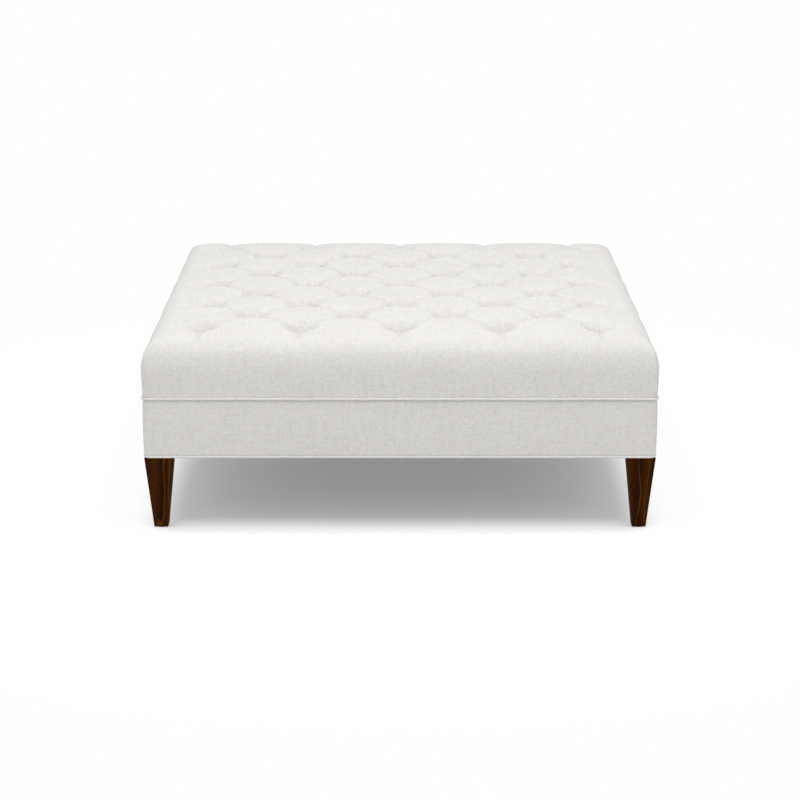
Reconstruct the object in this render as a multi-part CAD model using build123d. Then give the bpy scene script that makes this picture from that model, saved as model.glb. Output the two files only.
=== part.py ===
from build123d import *
import math
import os

# Square ottoman coffee table: a diamond-tufted cushion on an upholstered box with four tapered legs.
# Millimetres, +Z up. The origin is on the floor under the middle of the table.
# Front is -Y, left is -X.

# Overall sizes
side = 1064.0               # the square cushion, face to face where it is fullest
overall_height = 413.5      # floor to the crest of the pillows
seam_height = 282.9         # floor to the middle of the piping between cushion and box
corner_radius = 16.0        # upright corners of the cushion
corner_relief = 0.6         # how far outside the faces, where they are fullest, the corners' rounding ends

# Cushion form
tufts_per_side = 5          # tufts along each edge; the rows between hold one fewer
tuft_margin = 114.4         # cushion face to the outer row of tufts
tuft_depth = 38.0           # crest of a pillow to the bottom of a tuft
crease_depth = 6.5          # crest of a pillow to the middle of the crease beside it
pleat_rise_depth = 7.4      # crest to the valley of a straight pleat where it reaches the shoulder
corner_swell = 4.0          # rise of a corner pillow over the pleats beside it
side_pinch = 1.7            # how far the sides are drawn in at the piping
side_full_rise = 56.0       # foot of the cushion to where the sides are fullest
side_bow_radius = 120.0     # rounding of the upper part of the sides
shoulder_radius = 51.2      # rounding from the sides into the top
shoulder_angle = 15.0       # lean of the sides, in degrees, where the shoulder's rounding begins
crown_angle = 5.5           # slope of the top, in degrees, where the shoulder's rounding ends

# Tuft section: half widths of the four-sided pinch, and the heights between them
tuft_floor_half = 3.5
tuft_throat_half = 8.0
tuft_throat_rise = 13.0
tuft_mouth_half = 28.0
tuft_mouth_rise = 17.0
nub_top_half = 13.0
nub_floor_half = 6.0
nub_floor_thick = 4.0

# Cloth, padding and piping
cover_cloth = 2.0           # tail of the cover, folded under the deck
cover_side = 26.0           # cloth and wadding on the cushion's sides, where they are fullest
cover_top = 24.0            # cloth and wadding over the foam, at the crest
cover_hem = 4.0             # cloth round the edge of the deck
band_cloth = 2.0            # cloth of the band where it turns over and under the rails
band_padding = 5.0          # cloth and thin padding on the faces of the box
band_corner_radius = 13.0   # upright corners of the box
band_setback = 1.0          # cushion face, where it is fullest, to band face
cord_diameter = 5.0
cord_sides = 8
lip_thick = 1.2             # flat lip sewn to the piping cord
lip_root_share = 0.25       # middle of the cord to the edge of its lip, in cord diameters
seam_cord_proud = 2.5       # how far the upper piping stands out from the band face
hem_cord_proud = 1.2        # how far the lower piping stands out from the band face
hem_cord_rise = 0.3         # lower piping's clearance over the leg tops
dust_cover_thick = 0.8
dust_cover_inset = 8.0      # band face to the edge of the dust cover
soft_gap = 0.3              # between soft pieces and their neighbours

# Wooden frame
rail_thick = 18.0
rail_housing = 6.0          # depth of the housings and rabbets cut in the front and back rails
cross_rail_height = 80.0
cross_rail_stop = 12.0      # how far the housings stop below the top of the rails
cross_rail_share = 1.5      # middle of the table to a cross rail, in half pitches of the tufts
cleat_size = 25.0
block_side = 60.0
block_height = 45.0
block_chamfer = 24.0
deck_thick = 18.0
wood_gap = 0.2              # working clearance in the wooden joints

# Tuft ties
tie_thick = 2.0
tie_hole_size = 7.0
toggle_size = 6.0
toggle_length = 26.0

# Legs and their hardware
leg_height = 154.0
leg_top_side = 62.0
leg_foot_side = 29.0
leg_foot_chamfer = 2.0
leg_edge_chamfer = 1.5
leg_setback = 0.0           # band face to the outer faces of a leg's top
glide_diameter = 24.0
glide_thick = 2.0
glide_edge = 1.2
glide_nail_diameter = 2.6
glide_nail_length = 15.0
bolt_diameter = 8.0
bolt_length = 64.0
bolt_in_leg = 34.0
insert_diameter = 11.0
insert_length = 22.0
insert_flange_diameter = 16.0
insert_flange_thick = 1.6
bolt_gap = 0.15

# Screws, with plain shanks
screw_diameter = 4.2
screw_head_diameter = 8.4
screw_head_height = 3.0
screw_gap = 0.2
rail_screw_length = 44.0
cleat_screw_length = 36.0
deck_screw_length = 38.0
screws_per_cleat = 3
screws_per_deck_side = 4
rail_screw_inset = 39.0     # inner face of a rail to the screws that hold it
fastener_sides = 6          # flat sides that stand for a round shank or head
glide_sides = 16

overrun = 6.0               # how far cutting shapes run past what they cut

# Heights, from the floor up
leg_bottom_z = glide_thick
leg_top_z = leg_bottom_z + leg_height
block_bottom_z = leg_top_z + dust_cover_thick
band_bottom_z = block_bottom_z + lip_thick
rail_bottom_z = band_bottom_z + band_cloth
seam_lip_bottom_z = seam_height - lip_thick / 2
rail_top_z = seam_lip_bottom_z - band_cloth
cover_bottom_z = seam_lip_bottom_z + lip_thick
deck_bottom_z = cover_bottom_z + cover_cloth
deck_top_z = deck_bottom_z + deck_thick
foam_top_z = overall_height - cover_top
tuft_floor_z = overall_height - tuft_depth
nub_floor_z = tuft_floor_z - nub_floor_thick
hem_cord_z = leg_top_z + hem_cord_rise + cord_diameter / 2

# Half widths, from the middle out
half = side / 2
band_half = half - band_setback
rail_half = band_half - band_padding
rail_inner_half = rail_half - rail_thick
deck_half = half - side_pinch - cover_hem - soft_gap
foam_half = half - cover_side
seam_cord_half = band_half + seam_cord_proud - cord_diameter / 2
hem_cord_half = band_half + hem_cord_proud - cord_diameter / 2
cleat_inner_half = rail_inner_half - cleat_size
block_inner_half = rail_inner_half - block_side
leg_place = band_half - leg_setback - leg_top_side / 2

# Tuft grid: pillows and tufts alternate at every half pitch, like the squares of a chessboard
half_pitch = (side - 2 * tuft_margin) / (tufts_per_side - 1) / 2
grid_steps = tufts_per_side - 1
tuft_places = [
    (column * half_pitch, row * half_pitch)
    for column in range(-grid_steps, grid_steps + 1)
    for row in range(-grid_steps, grid_steps + 1)
    if (column + row) % 2 == 0
]
cross_rail_place = cross_rail_share * half_pitch


def box(x, y, z):
    """A block between pairs of limits along X, Y and Z."""
    size = [high - low for low, high in (x, y, z)]
    middle = [(high + low) / 2 for low, high in (x, y, z)]
    return Pos(*middle) * Box(*size)


def plate(half_width, radius, bottom, top):
    """A square plate with rounded upright corners, centred on the origin."""
    outline = RectangleRounded(2 * half_width, 2 * half_width, radius)
    return Pos(0, 0, bottom) * extrude(outline, top - bottom)


def taper(levels):
    """A four-sided solid of flat faces, from (half width, height) pairs listed upwards."""
    rings = [
        [(-a, -a, z), (a, -a, z), (a, a, z), (-a, a, z)]
        for a, z in levels
    ]
    faces = [Face(Wire.make_polygon(ring)) for ring in (rings[0], rings[-1])]
    for lower, upper in zip(rings, rings[1:]):
        for corner in range(4):
            after = (corner + 1) % 4
            quad = [lower[corner], lower[after], upper[after], upper[corner]]
            faces.append(Face(Wire.make_polygon(quad)))
    return Solid(Shell(faces))


def prism(diameter, length, sides=fastener_sides):
    """An upright bar with a few flat sides, standing on the origin."""
    return extrude(RegularPolygon(diameter / 2, sides), length)


def square_bar(x, y, size, bottom, top):
    """An upright square bar about a point."""
    reach = size / 2
    return box((x - reach, x + reach), (y - reach, y + reach), (bottom, top))


def four_corners(shape):
    """The shape and its mirror images in the four corners of the table."""
    right = [shape, mirror(shape, Plane.XZ)]
    return right + [mirror(each, Plane.YZ) for each in right]


def pillow_radius():
    """Radius of the round pillows, from the width of a diamond and the depth of a crease."""
    half_diamond = half_pitch / math.sqrt(2)
    return (half_diamond**2 + crease_depth**2) / (2 * crease_depth)


def pillow():
    """One full diamond: an upright square post, set cornerwise, under a ball that lies on its side."""
    radius = pillow_radius()
    diamond_side = half_pitch * math.sqrt(2)
    post = Pos(0, 0, cover_bottom_z) * extrude(Rectangle(diamond_side, diamond_side), overall_height)
    ball = Pos(0, 0, overall_height - radius) * Rot(90, 0, 0) * Sphere(radius)
    return Rot(0, 0, 45) * (post & ball)


def edge_half_pillow():
    """The inner half of a diamond on the outer row of tufts."""
    reach = 2 * half_pitch
    keep = box((-reach, reach), (-reach, 0), (0, 2 * overall_height))
    return pillow() & keep


def panel_section(y, width, first, middle, last):
    """An upright face across a border panel, its top an arc or, with no middle, a line."""
    start = (0, y, first)
    end = (width, y, last)
    top = Line(start, end)
    if middle is not None:
        top = ThreePointArc(start, (width / 2, y, middle), end)
    foot_end = (width, y, cover_bottom_z)
    foot_start = (0, y, cover_bottom_z)
    return Face(Wire([top, Line(end, foot_end), Line(foot_end, foot_start), Line(foot_start, start)]))


def border_heights():
    """Heights of a straight pleat at its tuft and at the far end of the border panels."""
    radius = pillow_radius()
    at_tuft = overall_height - radius + math.sqrt(radius**2 - half_pitch**2)
    return at_tuft, overall_height - pleat_rise_depth


def border_panel():
    """The outer part of an edge pillow, its pleats rising from the tufts to the shoulder."""
    at_tuft, at_edge = border_heights()
    width = 2 * half_pitch
    length = tuft_margin + overrun
    inner = panel_section(0, width, at_tuft, overall_height, at_tuft)
    outer = panel_section(length, width, at_edge, overall_height, at_edge)
    return Pos(-half_pitch, 0, 0) * loft([inner, outer], ruled=True)


def corner_panel():
    """The pillow between the two pleats that leave a corner tuft."""
    at_tuft, at_edge = border_heights()
    length = tuft_margin + overrun
    inner = panel_section(0, length, at_tuft, None, at_edge)
    outer = panel_section(length, length, at_edge, at_edge + corner_swell, at_edge)
    return loft([inner, outer], ruled=True)


def pillow_block():
    """All pillows, side by side with shared upright walls, joined to one block."""
    cells = []
    full = pillow()
    for column in range(1 - grid_steps, grid_steps):
        for row in range(1 - grid_steps, grid_steps):
            if (column + row) % 2:
                cells.append(Pos(column * half_pitch, row * half_pitch, 0) * full)
    border = [edge_half_pillow(), border_panel()]
    corner = corner_panel()
    edge_place = grid_steps * half_pitch
    for quarter in range(4):
        turn = Rot(0, 0, 90 * quarter)
        for column in range(1 - grid_steps, grid_steps, 2):
            place = turn * Pos(column * half_pitch, edge_place, 0)
            cells += [place * shape for shape in border]
        cells.append(turn * Pos(edge_place, edge_place, 0) * corner)
    return cells[0].fuse(*cells[1:])


def arc_point(centre, radius, angle):
    """A point on a circle in the XZ plane, its angle in degrees up from the outward level."""
    turn = math.radians(angle)
    return (centre[0] + radius * math.cos(turn), 0, centre[2] + radius * math.sin(turn))


def cushion_profile():
    """Upright outline across the cushion: pinched and bowed sides, round shoulders, sloping crown."""
    full_z = cover_bottom_z + side_full_rise
    foot = (half - side_pinch, 0, cover_bottom_z)
    full = (half, 0, full_z)
    foot_bow_radius = (side_full_rise**2 + side_pinch**2) / (2 * side_pinch)
    foot_bow = (half - foot_bow_radius, 0, full_z)
    foot_angle = -math.degrees(math.asin(side_full_rise / foot_bow_radius))
    side_bow = (half - side_bow_radius, 0, full_z)
    shoulder_start = arc_point(side_bow, side_bow_radius, shoulder_angle)
    shoulder = arc_point(shoulder_start, shoulder_radius, shoulder_angle + 180)
    top_angle = 90 - crown_angle
    middle_angle = (shoulder_angle + top_angle) / 2
    end = arc_point(shoulder, shoulder_radius, top_angle)
    crown_rise = overall_height + overrun - end[2]
    crown = (end[0] - crown_rise / math.tan(math.radians(crown_angle)), 0, end[2] + crown_rise)
    right = [
        ThreePointArc(foot, arc_point(foot_bow, foot_bow_radius, foot_angle / 2), full),
        ThreePointArc(full, arc_point(side_bow, side_bow_radius, shoulder_angle / 2), shoulder_start),
        ThreePointArc(shoulder_start, arc_point(shoulder, shoulder_radius, middle_angle), end),
        Line(end, crown),
    ]
    left = [mirror(edge, Plane.YZ) for edge in right]
    across = [
        Line(crown, (-crown[0], 0, crown[2])),
        Line(foot, (-foot[0], 0, foot[2])),
    ]
    return Face(Wire([edge for piece in right + left + across for edge in piece.edges()]))


def cushion_envelope():
    """The untufted cushion: the outline carried across both ways, with rounded upright corners."""
    across = extrude(cushion_profile(), half + overrun, both=True)
    along = Rot(0, 0, 90) * across
    corners = plate(half + corner_relief, corner_radius, cover_bottom_z, overall_height + 2 * overrun)
    return across & along & corners


def tuft_pinch():
    """The four-sided hollow that a tuft pulls into the top, its corners on the creases."""
    throat_z = tuft_floor_z + tuft_throat_rise
    return taper([
        (tuft_floor_half, tuft_floor_z),
        (tuft_throat_half, throat_z),
        (tuft_mouth_half, throat_z + tuft_mouth_rise),
    ])


def tuft_nub(gap):
    """The gathered cloth under a tuft, wider by the gap where it shapes the foam's recess."""
    spread = (nub_top_half - nub_floor_half) / (foam_top_z - nub_floor_z)
    above_foam = nub_top_half + spread * overrun
    return taper([(nub_floor_half + gap, nub_floor_z), (above_foam + gap, foam_top_z + overrun)])


def cord_ring(place, diameter, height):
    """A cord laid round the table: straight along the sides, a quarter turn at each corner."""
    turn_radius = band_corner_radius + place - band_half
    straight = place - turn_radius
    outline = RegularPolygon(diameter / 2, cord_sides)
    run = Pos(place, straight, height) * Rot(90, 0, 0) * extrude(outline, 2 * straight)
    section = Pos(turn_radius, 0, 0) * Rot(90, 0, 0) * outline
    bend = Pos(straight, straight, height) * revolve(section, Axis.Z, 90)
    pieces = [Rot(0, 0, 90 * quarter) * piece for quarter in range(4) for piece in (run, bend)]
    return pieces[0].fuse(*pieces[1:])


def cord_rabbet(place, height):
    """The square-cornered step cut round an edge, in which a piping cord lies."""
    reach = cord_diameter / 2 + soft_gap
    inner = place - reach
    outside = half + overrun
    low, high = height - reach, height + reach
    edge = box((-outside, outside), (-outside, outside), (low, high))
    kept = plate(inner, band_corner_radius + inner - band_half, low - overrun, high + overrun)
    return edge.cut(kept)


def top_cover():
    """The tufted cover with its bonded wadding, hollow for the foam and folded under the deck."""
    outer = pillow_block() & cushion_envelope()
    foam_space = plate(foam_half + soft_gap, corner_radius, deck_top_z, foam_top_z + soft_gap)
    nubs = [Pos(x, y, 0) * tuft_nub(0) for x, y in tuft_places]
    deck_space = plate(deck_half + soft_gap, corner_radius, deck_bottom_z, deck_top_z)
    mouth_half = rail_inner_half + soft_gap
    mouth_span = (-mouth_half, mouth_half)
    mouth = box(mouth_span, mouth_span, (cover_bottom_z - overrun, deck_bottom_z))
    pinches = [Pos(x, y, 0) * tuft_pinch() for x, y in tuft_places]
    hollow = foam_space.cut(*nubs).fuse(deck_space, mouth)
    return outer.cut(*pinches).cut(hollow).cut(cord_rabbet(seam_cord_half, seam_height))


def foam_core():
    """The foam slab, recessed and pierced under every tuft."""
    slab = plate(foam_half, corner_radius, deck_top_z, foam_top_z)
    recesses = [Pos(x, y, 0) * tuft_nub(soft_gap) for x, y in tuft_places]
    passage_size = 2 * (nub_floor_half + soft_gap)
    low = deck_top_z - overrun
    passages = [square_bar(x, y, passage_size, low, nub_floor_z) for x, y in tuft_places]
    return slab.cut(*recesses).cut(*passages)


def deck_screw_places():
    """Points along Y of the screws that go up into the deck."""
    span = 2 * rail_inner_half / screws_per_deck_side
    first = span / 2 - rail_inner_half
    return [first + span * index for index in range(screws_per_deck_side)]


def cleat_screw_places():
    """Points along Y of the screws that hold a cleat to its rail."""
    span = 2 * rail_inner_half / (screws_per_cleat + 1)
    return [-rail_inner_half + span * (index + 1) for index in range(screws_per_cleat)]


def screw(length):
    """A pan-head screw pointing up, the underside of its head on the origin."""
    shank = prism(screw_diameter, length)
    head = Pos(0, 0, -screw_head_height) * prism(screw_head_diameter, screw_head_height)
    return shank.fuse(head)


def screw_hole(length):
    """The hole for a screw: its shank and its head, each with the screw's clearance."""
    shank = prism(screw_diameter + 2 * screw_gap, length + screw_gap)
    head_length = screw_head_height + overrun
    head = Pos(0, 0, -head_length) * prism(screw_head_diameter + 2 * screw_gap, head_length)
    return shank.fuse(head)


def rail_screw_locations():
    """Where the screws enter the outer faces of the rails, one into each side of each corner block."""
    height = block_bottom_z + block_height / 2
    along = rail_inner_half - rail_screw_inset
    depth = rail_half - screw_head_height
    inward = [Pos(depth, hand * along, height) * Rot(0, -90, 0) for hand in (-1, 1)]
    return [Rot(0, 0, 90 * quarter) * place for quarter in range(4) for place in inward]


def deck_screw_locations():
    """Where the screws stand under the two cleats."""
    middle = rail_inner_half - cleat_size / 2
    bottom = deck_bottom_z - cleat_size
    return [Pos(hand * middle, y, bottom) for hand in (-1, 1) for y in deck_screw_places()]


def cleat_screw_locations():
    """Where the screws enter the inner faces of the two cleats, pointing outwards."""
    height = deck_bottom_z - cleat_size / 2
    places = []
    for hand in (-1, 1):
        for y in cleat_screw_places():
            places.append(Pos(hand * cleat_inner_half, y, height) * Rot(0, 90 * hand, 0))
    return places


def holes(locations, length):
    """Screw holes at all the given locations."""
    cutter = screw_hole(length)
    return [place * cutter for place in locations]


def insert_room():
    """Space round the four leg inserts, for any layer or rail that reaches over them."""
    below = Pos(leg_place, leg_place, block_bottom_z - overrun)
    body = below * prism(insert_diameter + 2 * soft_gap, overrun + insert_length + soft_gap)
    flange_height = rail_bottom_z - block_bottom_z + overrun
    flange = below * prism(insert_flange_diameter + 2 * soft_gap, flange_height)
    return four_corners(body.fuse(flange))


def long_rail():
    """The front rail: rounded outer corners, rabbets for the side rails, housings for the cross rails."""
    inner = -rail_inner_half
    bar = box((-rail_half, rail_half), (-rail_half, inner), (rail_bottom_z, rail_top_z))
    bar = bar & plate(rail_half, band_corner_radius - band_padding, rail_bottom_z, rail_top_z)
    housing = (inner - rail_housing, inner + overrun)
    cuts = []
    for hand in (-1, 1):
        ends = sorted((hand * (rail_inner_half - wood_gap), hand * (rail_half + overrun)))
        cuts.append(box(ends, housing, (rail_bottom_z - overrun, rail_top_z + overrun)))
        reach = rail_thick / 2 + wood_gap
        middle = hand * cross_rail_place
        low = deck_bottom_z - cross_rail_height - wood_gap
        high = rail_top_z - cross_rail_stop + wood_gap
        cuts.append(box((middle - reach, middle + reach), housing, (low, high)))
    return bar.cut(*cuts, *insert_room()).cut(*holes(rail_screw_locations(), rail_screw_length))


def side_rail():
    """The right rail, let into the rabbets of the front and back rails."""
    length = rail_inner_half + rail_housing
    bar = box((rail_inner_half, rail_half), (-length, length), (rail_bottom_z, rail_top_z))
    bar = bar & plate(rail_half, band_corner_radius - band_padding, rail_bottom_z, rail_top_z)
    bar = bar.cut(*insert_room()).cut(*holes(rail_screw_locations(), rail_screw_length))
    return bar.cut(*holes(cleat_screw_locations(), cleat_screw_length))


def cross_rail():
    """A rail under the deck, with a tongue at each end in the housings of the front and back rails."""
    reach = rail_thick / 2
    low = deck_bottom_z - cross_rail_height
    bar = box((-reach, reach), (-rail_inner_half, rail_inner_half), (low, deck_bottom_z))
    tongue = rail_inner_half + rail_housing - wood_gap
    return bar + box((-reach, reach), (-tongue, tongue), (low, rail_top_z - cross_rail_stop))


def deck_cleat():
    """The right cleat, which the deck rests on and is screwed down through."""
    x = (cleat_inner_half, rail_inner_half)
    bar = box(x, (-rail_inner_half, rail_inner_half), (deck_bottom_z - cleat_size, deck_bottom_z))
    bar = bar.cut(*holes(cleat_screw_locations(), cleat_screw_length))
    return bar.cut(*holes(deck_screw_locations(), deck_screw_length))


def corner_block():
    """The block in the front right corner, bored for the leg's insert."""
    span = (block_inner_half, rail_inner_half)
    block = box(span, (-span[1], -span[0]), (block_bottom_z, block_bottom_z + block_height))
    edge = block.edges().filter_by(Axis.Z).sort_by_distance((0, 0, block_bottom_z))[0]
    block = chamfer(edge, block_chamfer)
    below = Pos(leg_place, -leg_place, block_bottom_z - overrun)
    bore = below * prism(insert_diameter, block_height + 2 * overrun)
    seat = below * prism(insert_flange_diameter, insert_flange_thick + overrun)
    return block.cut(bore, seat, *holes(rail_screw_locations(), rail_screw_length))


def deck_panel():
    """The plywood deck, with a hole for the tie of every tuft."""
    panel = plate(deck_half, corner_radius, deck_bottom_z, deck_top_z)
    low, high = deck_bottom_z - overrun, deck_top_z + overrun
    passages = [square_bar(x, y, tie_hole_size, low, high) for x, y in tuft_places]
    return panel.cut(*passages).cut(*holes(deck_screw_locations(), deck_screw_length))


def tuft_ties():
    """The cords that hold the tufts down, from the nubs to the toggles."""
    return [square_bar(x, y, tie_thick, deck_bottom_z, nub_floor_z) for x, y in tuft_places]


def tuft_toggles():
    """The small bars under the deck that the ties are made fast to."""
    reach = toggle_size / 2
    span = toggle_length / 2
    toggle = box((-reach, reach), (-span, span), (deck_bottom_z - toggle_size, deck_bottom_z))
    return [Pos(x, y, 0) * toggle for x, y in tuft_places]


def piping(place, height, lip_bottom, lip_half):
    """A piping cord with its flat lip, which lies between the layers of the joint."""
    cord = cord_ring(place, cord_diameter, height)
    lip_edge = place - lip_root_share * cord_diameter
    turn_radius = band_corner_radius + lip_edge - band_half
    lip = plate(lip_edge, turn_radius, lip_bottom, lip_bottom + lip_thick)
    span = (-lip_half, lip_half)
    opening = box(span, span, (lip_bottom - overrun, lip_bottom + overrun))
    return cord.fuse(lip.cut(opening))


def seam_piping():
    return piping(seam_cord_half, seam_height, seam_lip_bottom_z, rail_inner_half + soft_gap)


def hem_piping():
    ring = piping(hem_cord_half, hem_cord_z, block_bottom_z, rail_inner_half + soft_gap)
    return ring.cut(*insert_room())


def base_band():
    """The band of cloth round the box, turned over the rails above and under them below."""
    outer = plate(band_half, band_corner_radius, band_bottom_z, seam_lip_bottom_z)
    room = plate(rail_half, band_corner_radius - band_padding, rail_bottom_z, rail_top_z)
    mouth_half = rail_inner_half + soft_gap
    mouth = box((-mouth_half, mouth_half), (-mouth_half, mouth_half), (0, overall_height))
    upper = cord_rabbet(seam_cord_half, seam_height)
    lower = cord_rabbet(hem_cord_half, hem_cord_z)
    return outer.cut(room, mouth).cut(upper, lower).cut(*insert_room())


def dust_cover():
    """The thin cloth that closes the box from below, held at its corners by the legs."""
    reach = band_half - dust_cover_inset
    sheet = box((-reach, reach), (-reach, reach), (leg_top_z, block_bottom_z))
    hole = prism(bolt_diameter + 2 * bolt_gap, overall_height)
    return sheet.cut(*four_corners(Pos(leg_place, leg_place, 0) * hole))


def leg():
    """The front right leg: a straight four-sided taper, eased along its edges and at its foot."""
    top_half = leg_top_side / 2
    foot_half = leg_foot_side / 2
    ease = leg_foot_chamfer
    post = taper([(foot_half - ease, 0), (foot_half, ease), (top_half, leg_height)])
    edges = post.edges().filter_by(lambda edge: edge.bounding_box().size.Z > leg_height / 2)
    post = chamfer(edges, leg_edge_chamfer)
    bolt_hole = prism(bolt_diameter + 2 * bolt_gap, bolt_in_leg + overrun)
    bolt_bore = Pos(0, 0, leg_height - bolt_in_leg) * bolt_hole
    nail_hole = prism(glide_nail_diameter + 2 * bolt_gap, glide_nail_length + overrun)
    nail_bore = Pos(0, 0, -overrun) * nail_hole
    return Pos(leg_place, -leg_place, leg_bottom_z) * post.cut(bolt_bore, nail_bore)


def foot_glide():
    """A nailed glide: a round button with an eased lower edge, and its nail."""
    button = prism(glide_diameter, glide_thick, glide_sides)
    button = chamfer(button.faces().sort_by(Axis.Z)[0].edges(), glide_edge)
    nail = Pos(0, 0, glide_thick) * prism(glide_nail_diameter, glide_nail_length)
    return Pos(leg_place, -leg_place, 0) * button.fuse(nail)


def leg_insert():
    """The flanged threaded insert in a corner block."""
    body = prism(insert_diameter, insert_length).fuse(prism(insert_flange_diameter, insert_flange_thick))
    bore = Pos(0, 0, -overrun) * prism(bolt_diameter + 2 * bolt_gap, insert_length + 2 * overrun)
    return Pos(leg_place, -leg_place, block_bottom_z) * body.cut(bore)


def hanger_bolt():
    """The bolt fixed in a leg's top, which screws up into the insert."""
    return Pos(leg_place, -leg_place, leg_top_z - bolt_in_leg) * prism(bolt_diameter, bolt_length)


def write(name, shapes):
    """One named piece, or a group of like solids, to its own file."""
    solids = shapes if isinstance(shapes, list) else [shapes]
    piece = solids[0] if len(solids) == 1 else Compound(children=solids)
    export_step(piece, f"parts/{name}.step")


def corner_names():
    """Names in the order of four_corners: right front, right back, left front, left back."""
    return ["front_right", "back_right", "front_left", "back_left"]


def build():
    os.makedirs("parts", exist_ok=True)
    write("top_cover", top_cover())
    write("foam_core", foam_core())
    write("deck_panel", deck_panel())
    write("tuft_ties", tuft_ties())
    write("tuft_toggles", tuft_toggles())
    write("seam_piping", seam_piping())
    write("hem_piping", hem_piping())
    write("base_band", base_band())
    write("dust_cover", dust_cover())

    front = long_rail()
    write("front_rail", front)
    write("back_rail", mirror(front, Plane.XZ))
    right = side_rail()
    write("right_rail", right)
    write("left_rail", mirror(right, Plane.YZ))
    cross = cross_rail()
    write("cross_rail_right", Pos(cross_rail_place, 0, 0) * cross)
    write("cross_rail_left", Pos(-cross_rail_place, 0, 0) * cross)
    cleat = deck_cleat()
    write("deck_cleat_right", cleat)
    write("deck_cleat_left", mirror(cleat, Plane.YZ))

    for name, block, post in zip(corner_names(), four_corners(corner_block()), four_corners(leg())):
        write(f"corner_block_{name}", block)
        write(f"leg_{name}", post)
    write("foot_glides", four_corners(foot_glide()))
    write("leg_inserts", four_corners(leg_insert()))
    write("hanger_bolts", four_corners(hanger_bolt()))

    write("rail_screws", [place * screw(rail_screw_length) for place in rail_screw_locations()])
    write("cleat_screws", [place * screw(cleat_screw_length) for place in cleat_screw_locations()])
    write("deck_screws", [place * screw(deck_screw_length) for place in deck_screw_locations()])


build()
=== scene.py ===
# %% [markdown]
# # A tufted ottoman coffee table
# The wooden frame, the hardware and the plain solids of the soft parts come from the CAD model. This script
# loads them as a fixed frame and gives the table its looks: a tufted linen cover, piping, a cloth band and
# dark legs. Everything is in metres. The origin is on the floor under the middle of the table, +Z is up and
# the front is -Y.

# %% Load the frame
import math

import bpy
import numpy as np
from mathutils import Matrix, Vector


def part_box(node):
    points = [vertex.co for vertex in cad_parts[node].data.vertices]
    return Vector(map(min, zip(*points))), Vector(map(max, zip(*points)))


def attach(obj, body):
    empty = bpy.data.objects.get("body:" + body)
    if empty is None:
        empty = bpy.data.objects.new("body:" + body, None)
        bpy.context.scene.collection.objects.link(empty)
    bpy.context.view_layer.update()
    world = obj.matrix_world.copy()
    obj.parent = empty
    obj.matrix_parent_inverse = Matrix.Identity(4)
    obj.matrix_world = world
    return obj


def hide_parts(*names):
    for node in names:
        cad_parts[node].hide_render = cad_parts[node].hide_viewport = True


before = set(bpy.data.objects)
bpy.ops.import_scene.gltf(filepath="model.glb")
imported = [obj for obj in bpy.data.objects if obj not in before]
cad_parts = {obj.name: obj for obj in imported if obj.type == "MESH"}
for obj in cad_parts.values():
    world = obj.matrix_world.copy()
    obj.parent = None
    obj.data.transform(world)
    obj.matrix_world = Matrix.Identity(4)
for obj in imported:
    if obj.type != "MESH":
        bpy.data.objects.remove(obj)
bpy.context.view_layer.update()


def short(value):
    """A number with four decimals, which is a tenth of a millimetre, for printing."""
    return round(float(value), 4)


# %% [markdown]
# ## Meshes from numpy arrays
# Each new piece is worked out as whole arrays of points, and then put into a mesh in one go. `foreach_set`
# is much quicker than adding vertices one by one, and it keeps the shape's formula apart from Blender's own
# bookkeeping. Cloth pieces also carry a UV map named "cloth", in metres along the cloth, so that the weave
# follows the surface.

# %% Put points and faces into a mesh
def add_object(name, data):
    """A new object in the scene that holds a mesh, a lamp or a camera."""
    thing = bpy.data.objects.new(name, data)
    bpy.context.scene.collection.objects.link(thing)
    return thing


def make_piece(name, points, face_sets, cloth=None, smooth=True):
    """An object from points (n, 3) and a list of face arrays; cloth holds a UV pair for every face corner."""
    mesh = bpy.data.meshes.new(name)
    corners = np.concatenate([faces.ravel() for faces in face_sets])
    sizes = np.concatenate([np.full(len(faces), faces.shape[1]) for faces in face_sets])
    starts = np.concatenate([[0], np.cumsum(sizes)[:-1]])
    mesh.vertices.add(len(points))
    mesh.vertices.foreach_set("co", np.ascontiguousarray(points, dtype=np.float32).ravel())
    mesh.loops.add(len(corners))
    mesh.loops.foreach_set("vertex_index", corners.astype(np.int32))
    mesh.polygons.add(len(sizes))
    mesh.polygons.foreach_set("loop_start", starts.astype(np.int32))
    mesh.update(calc_edges=True)
    if cloth is not None:
        layer = mesh.uv_layers.new(name="cloth")
        layer.data.foreach_set("uv", np.ascontiguousarray(cloth, dtype=np.float32).ravel())
    mesh.polygons.foreach_set("use_smooth", np.full(len(sizes), smooth))
    mesh.validate()
    print(name, len(points), "points", len(sizes), "faces")
    return add_object(name, mesh)


def as_points(x, y, z):
    """Three arrays of one shape as a list of points."""
    return np.stack([x, y, z], -1).reshape(-1, 3)


def box_limits(node):
    """Half width and the lowest and highest points of a CAD node."""
    low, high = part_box(node)
    return high[0], low[2], high[2]


# %% [markdown]
# ## Walking round a rounded square
# The cushion, both pipings, the band and the legs are all square with rounded corners, so one formula
# serves them. A point on such an outline is `(half width - radius) * corner + radius * normal`. The corner
# part slides along the straight sides, and the normal part turns only at the corners. Outlines of any size
# that share these two lists of directions line up point by point, so they can be joined into one skin
# without gaps.

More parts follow.
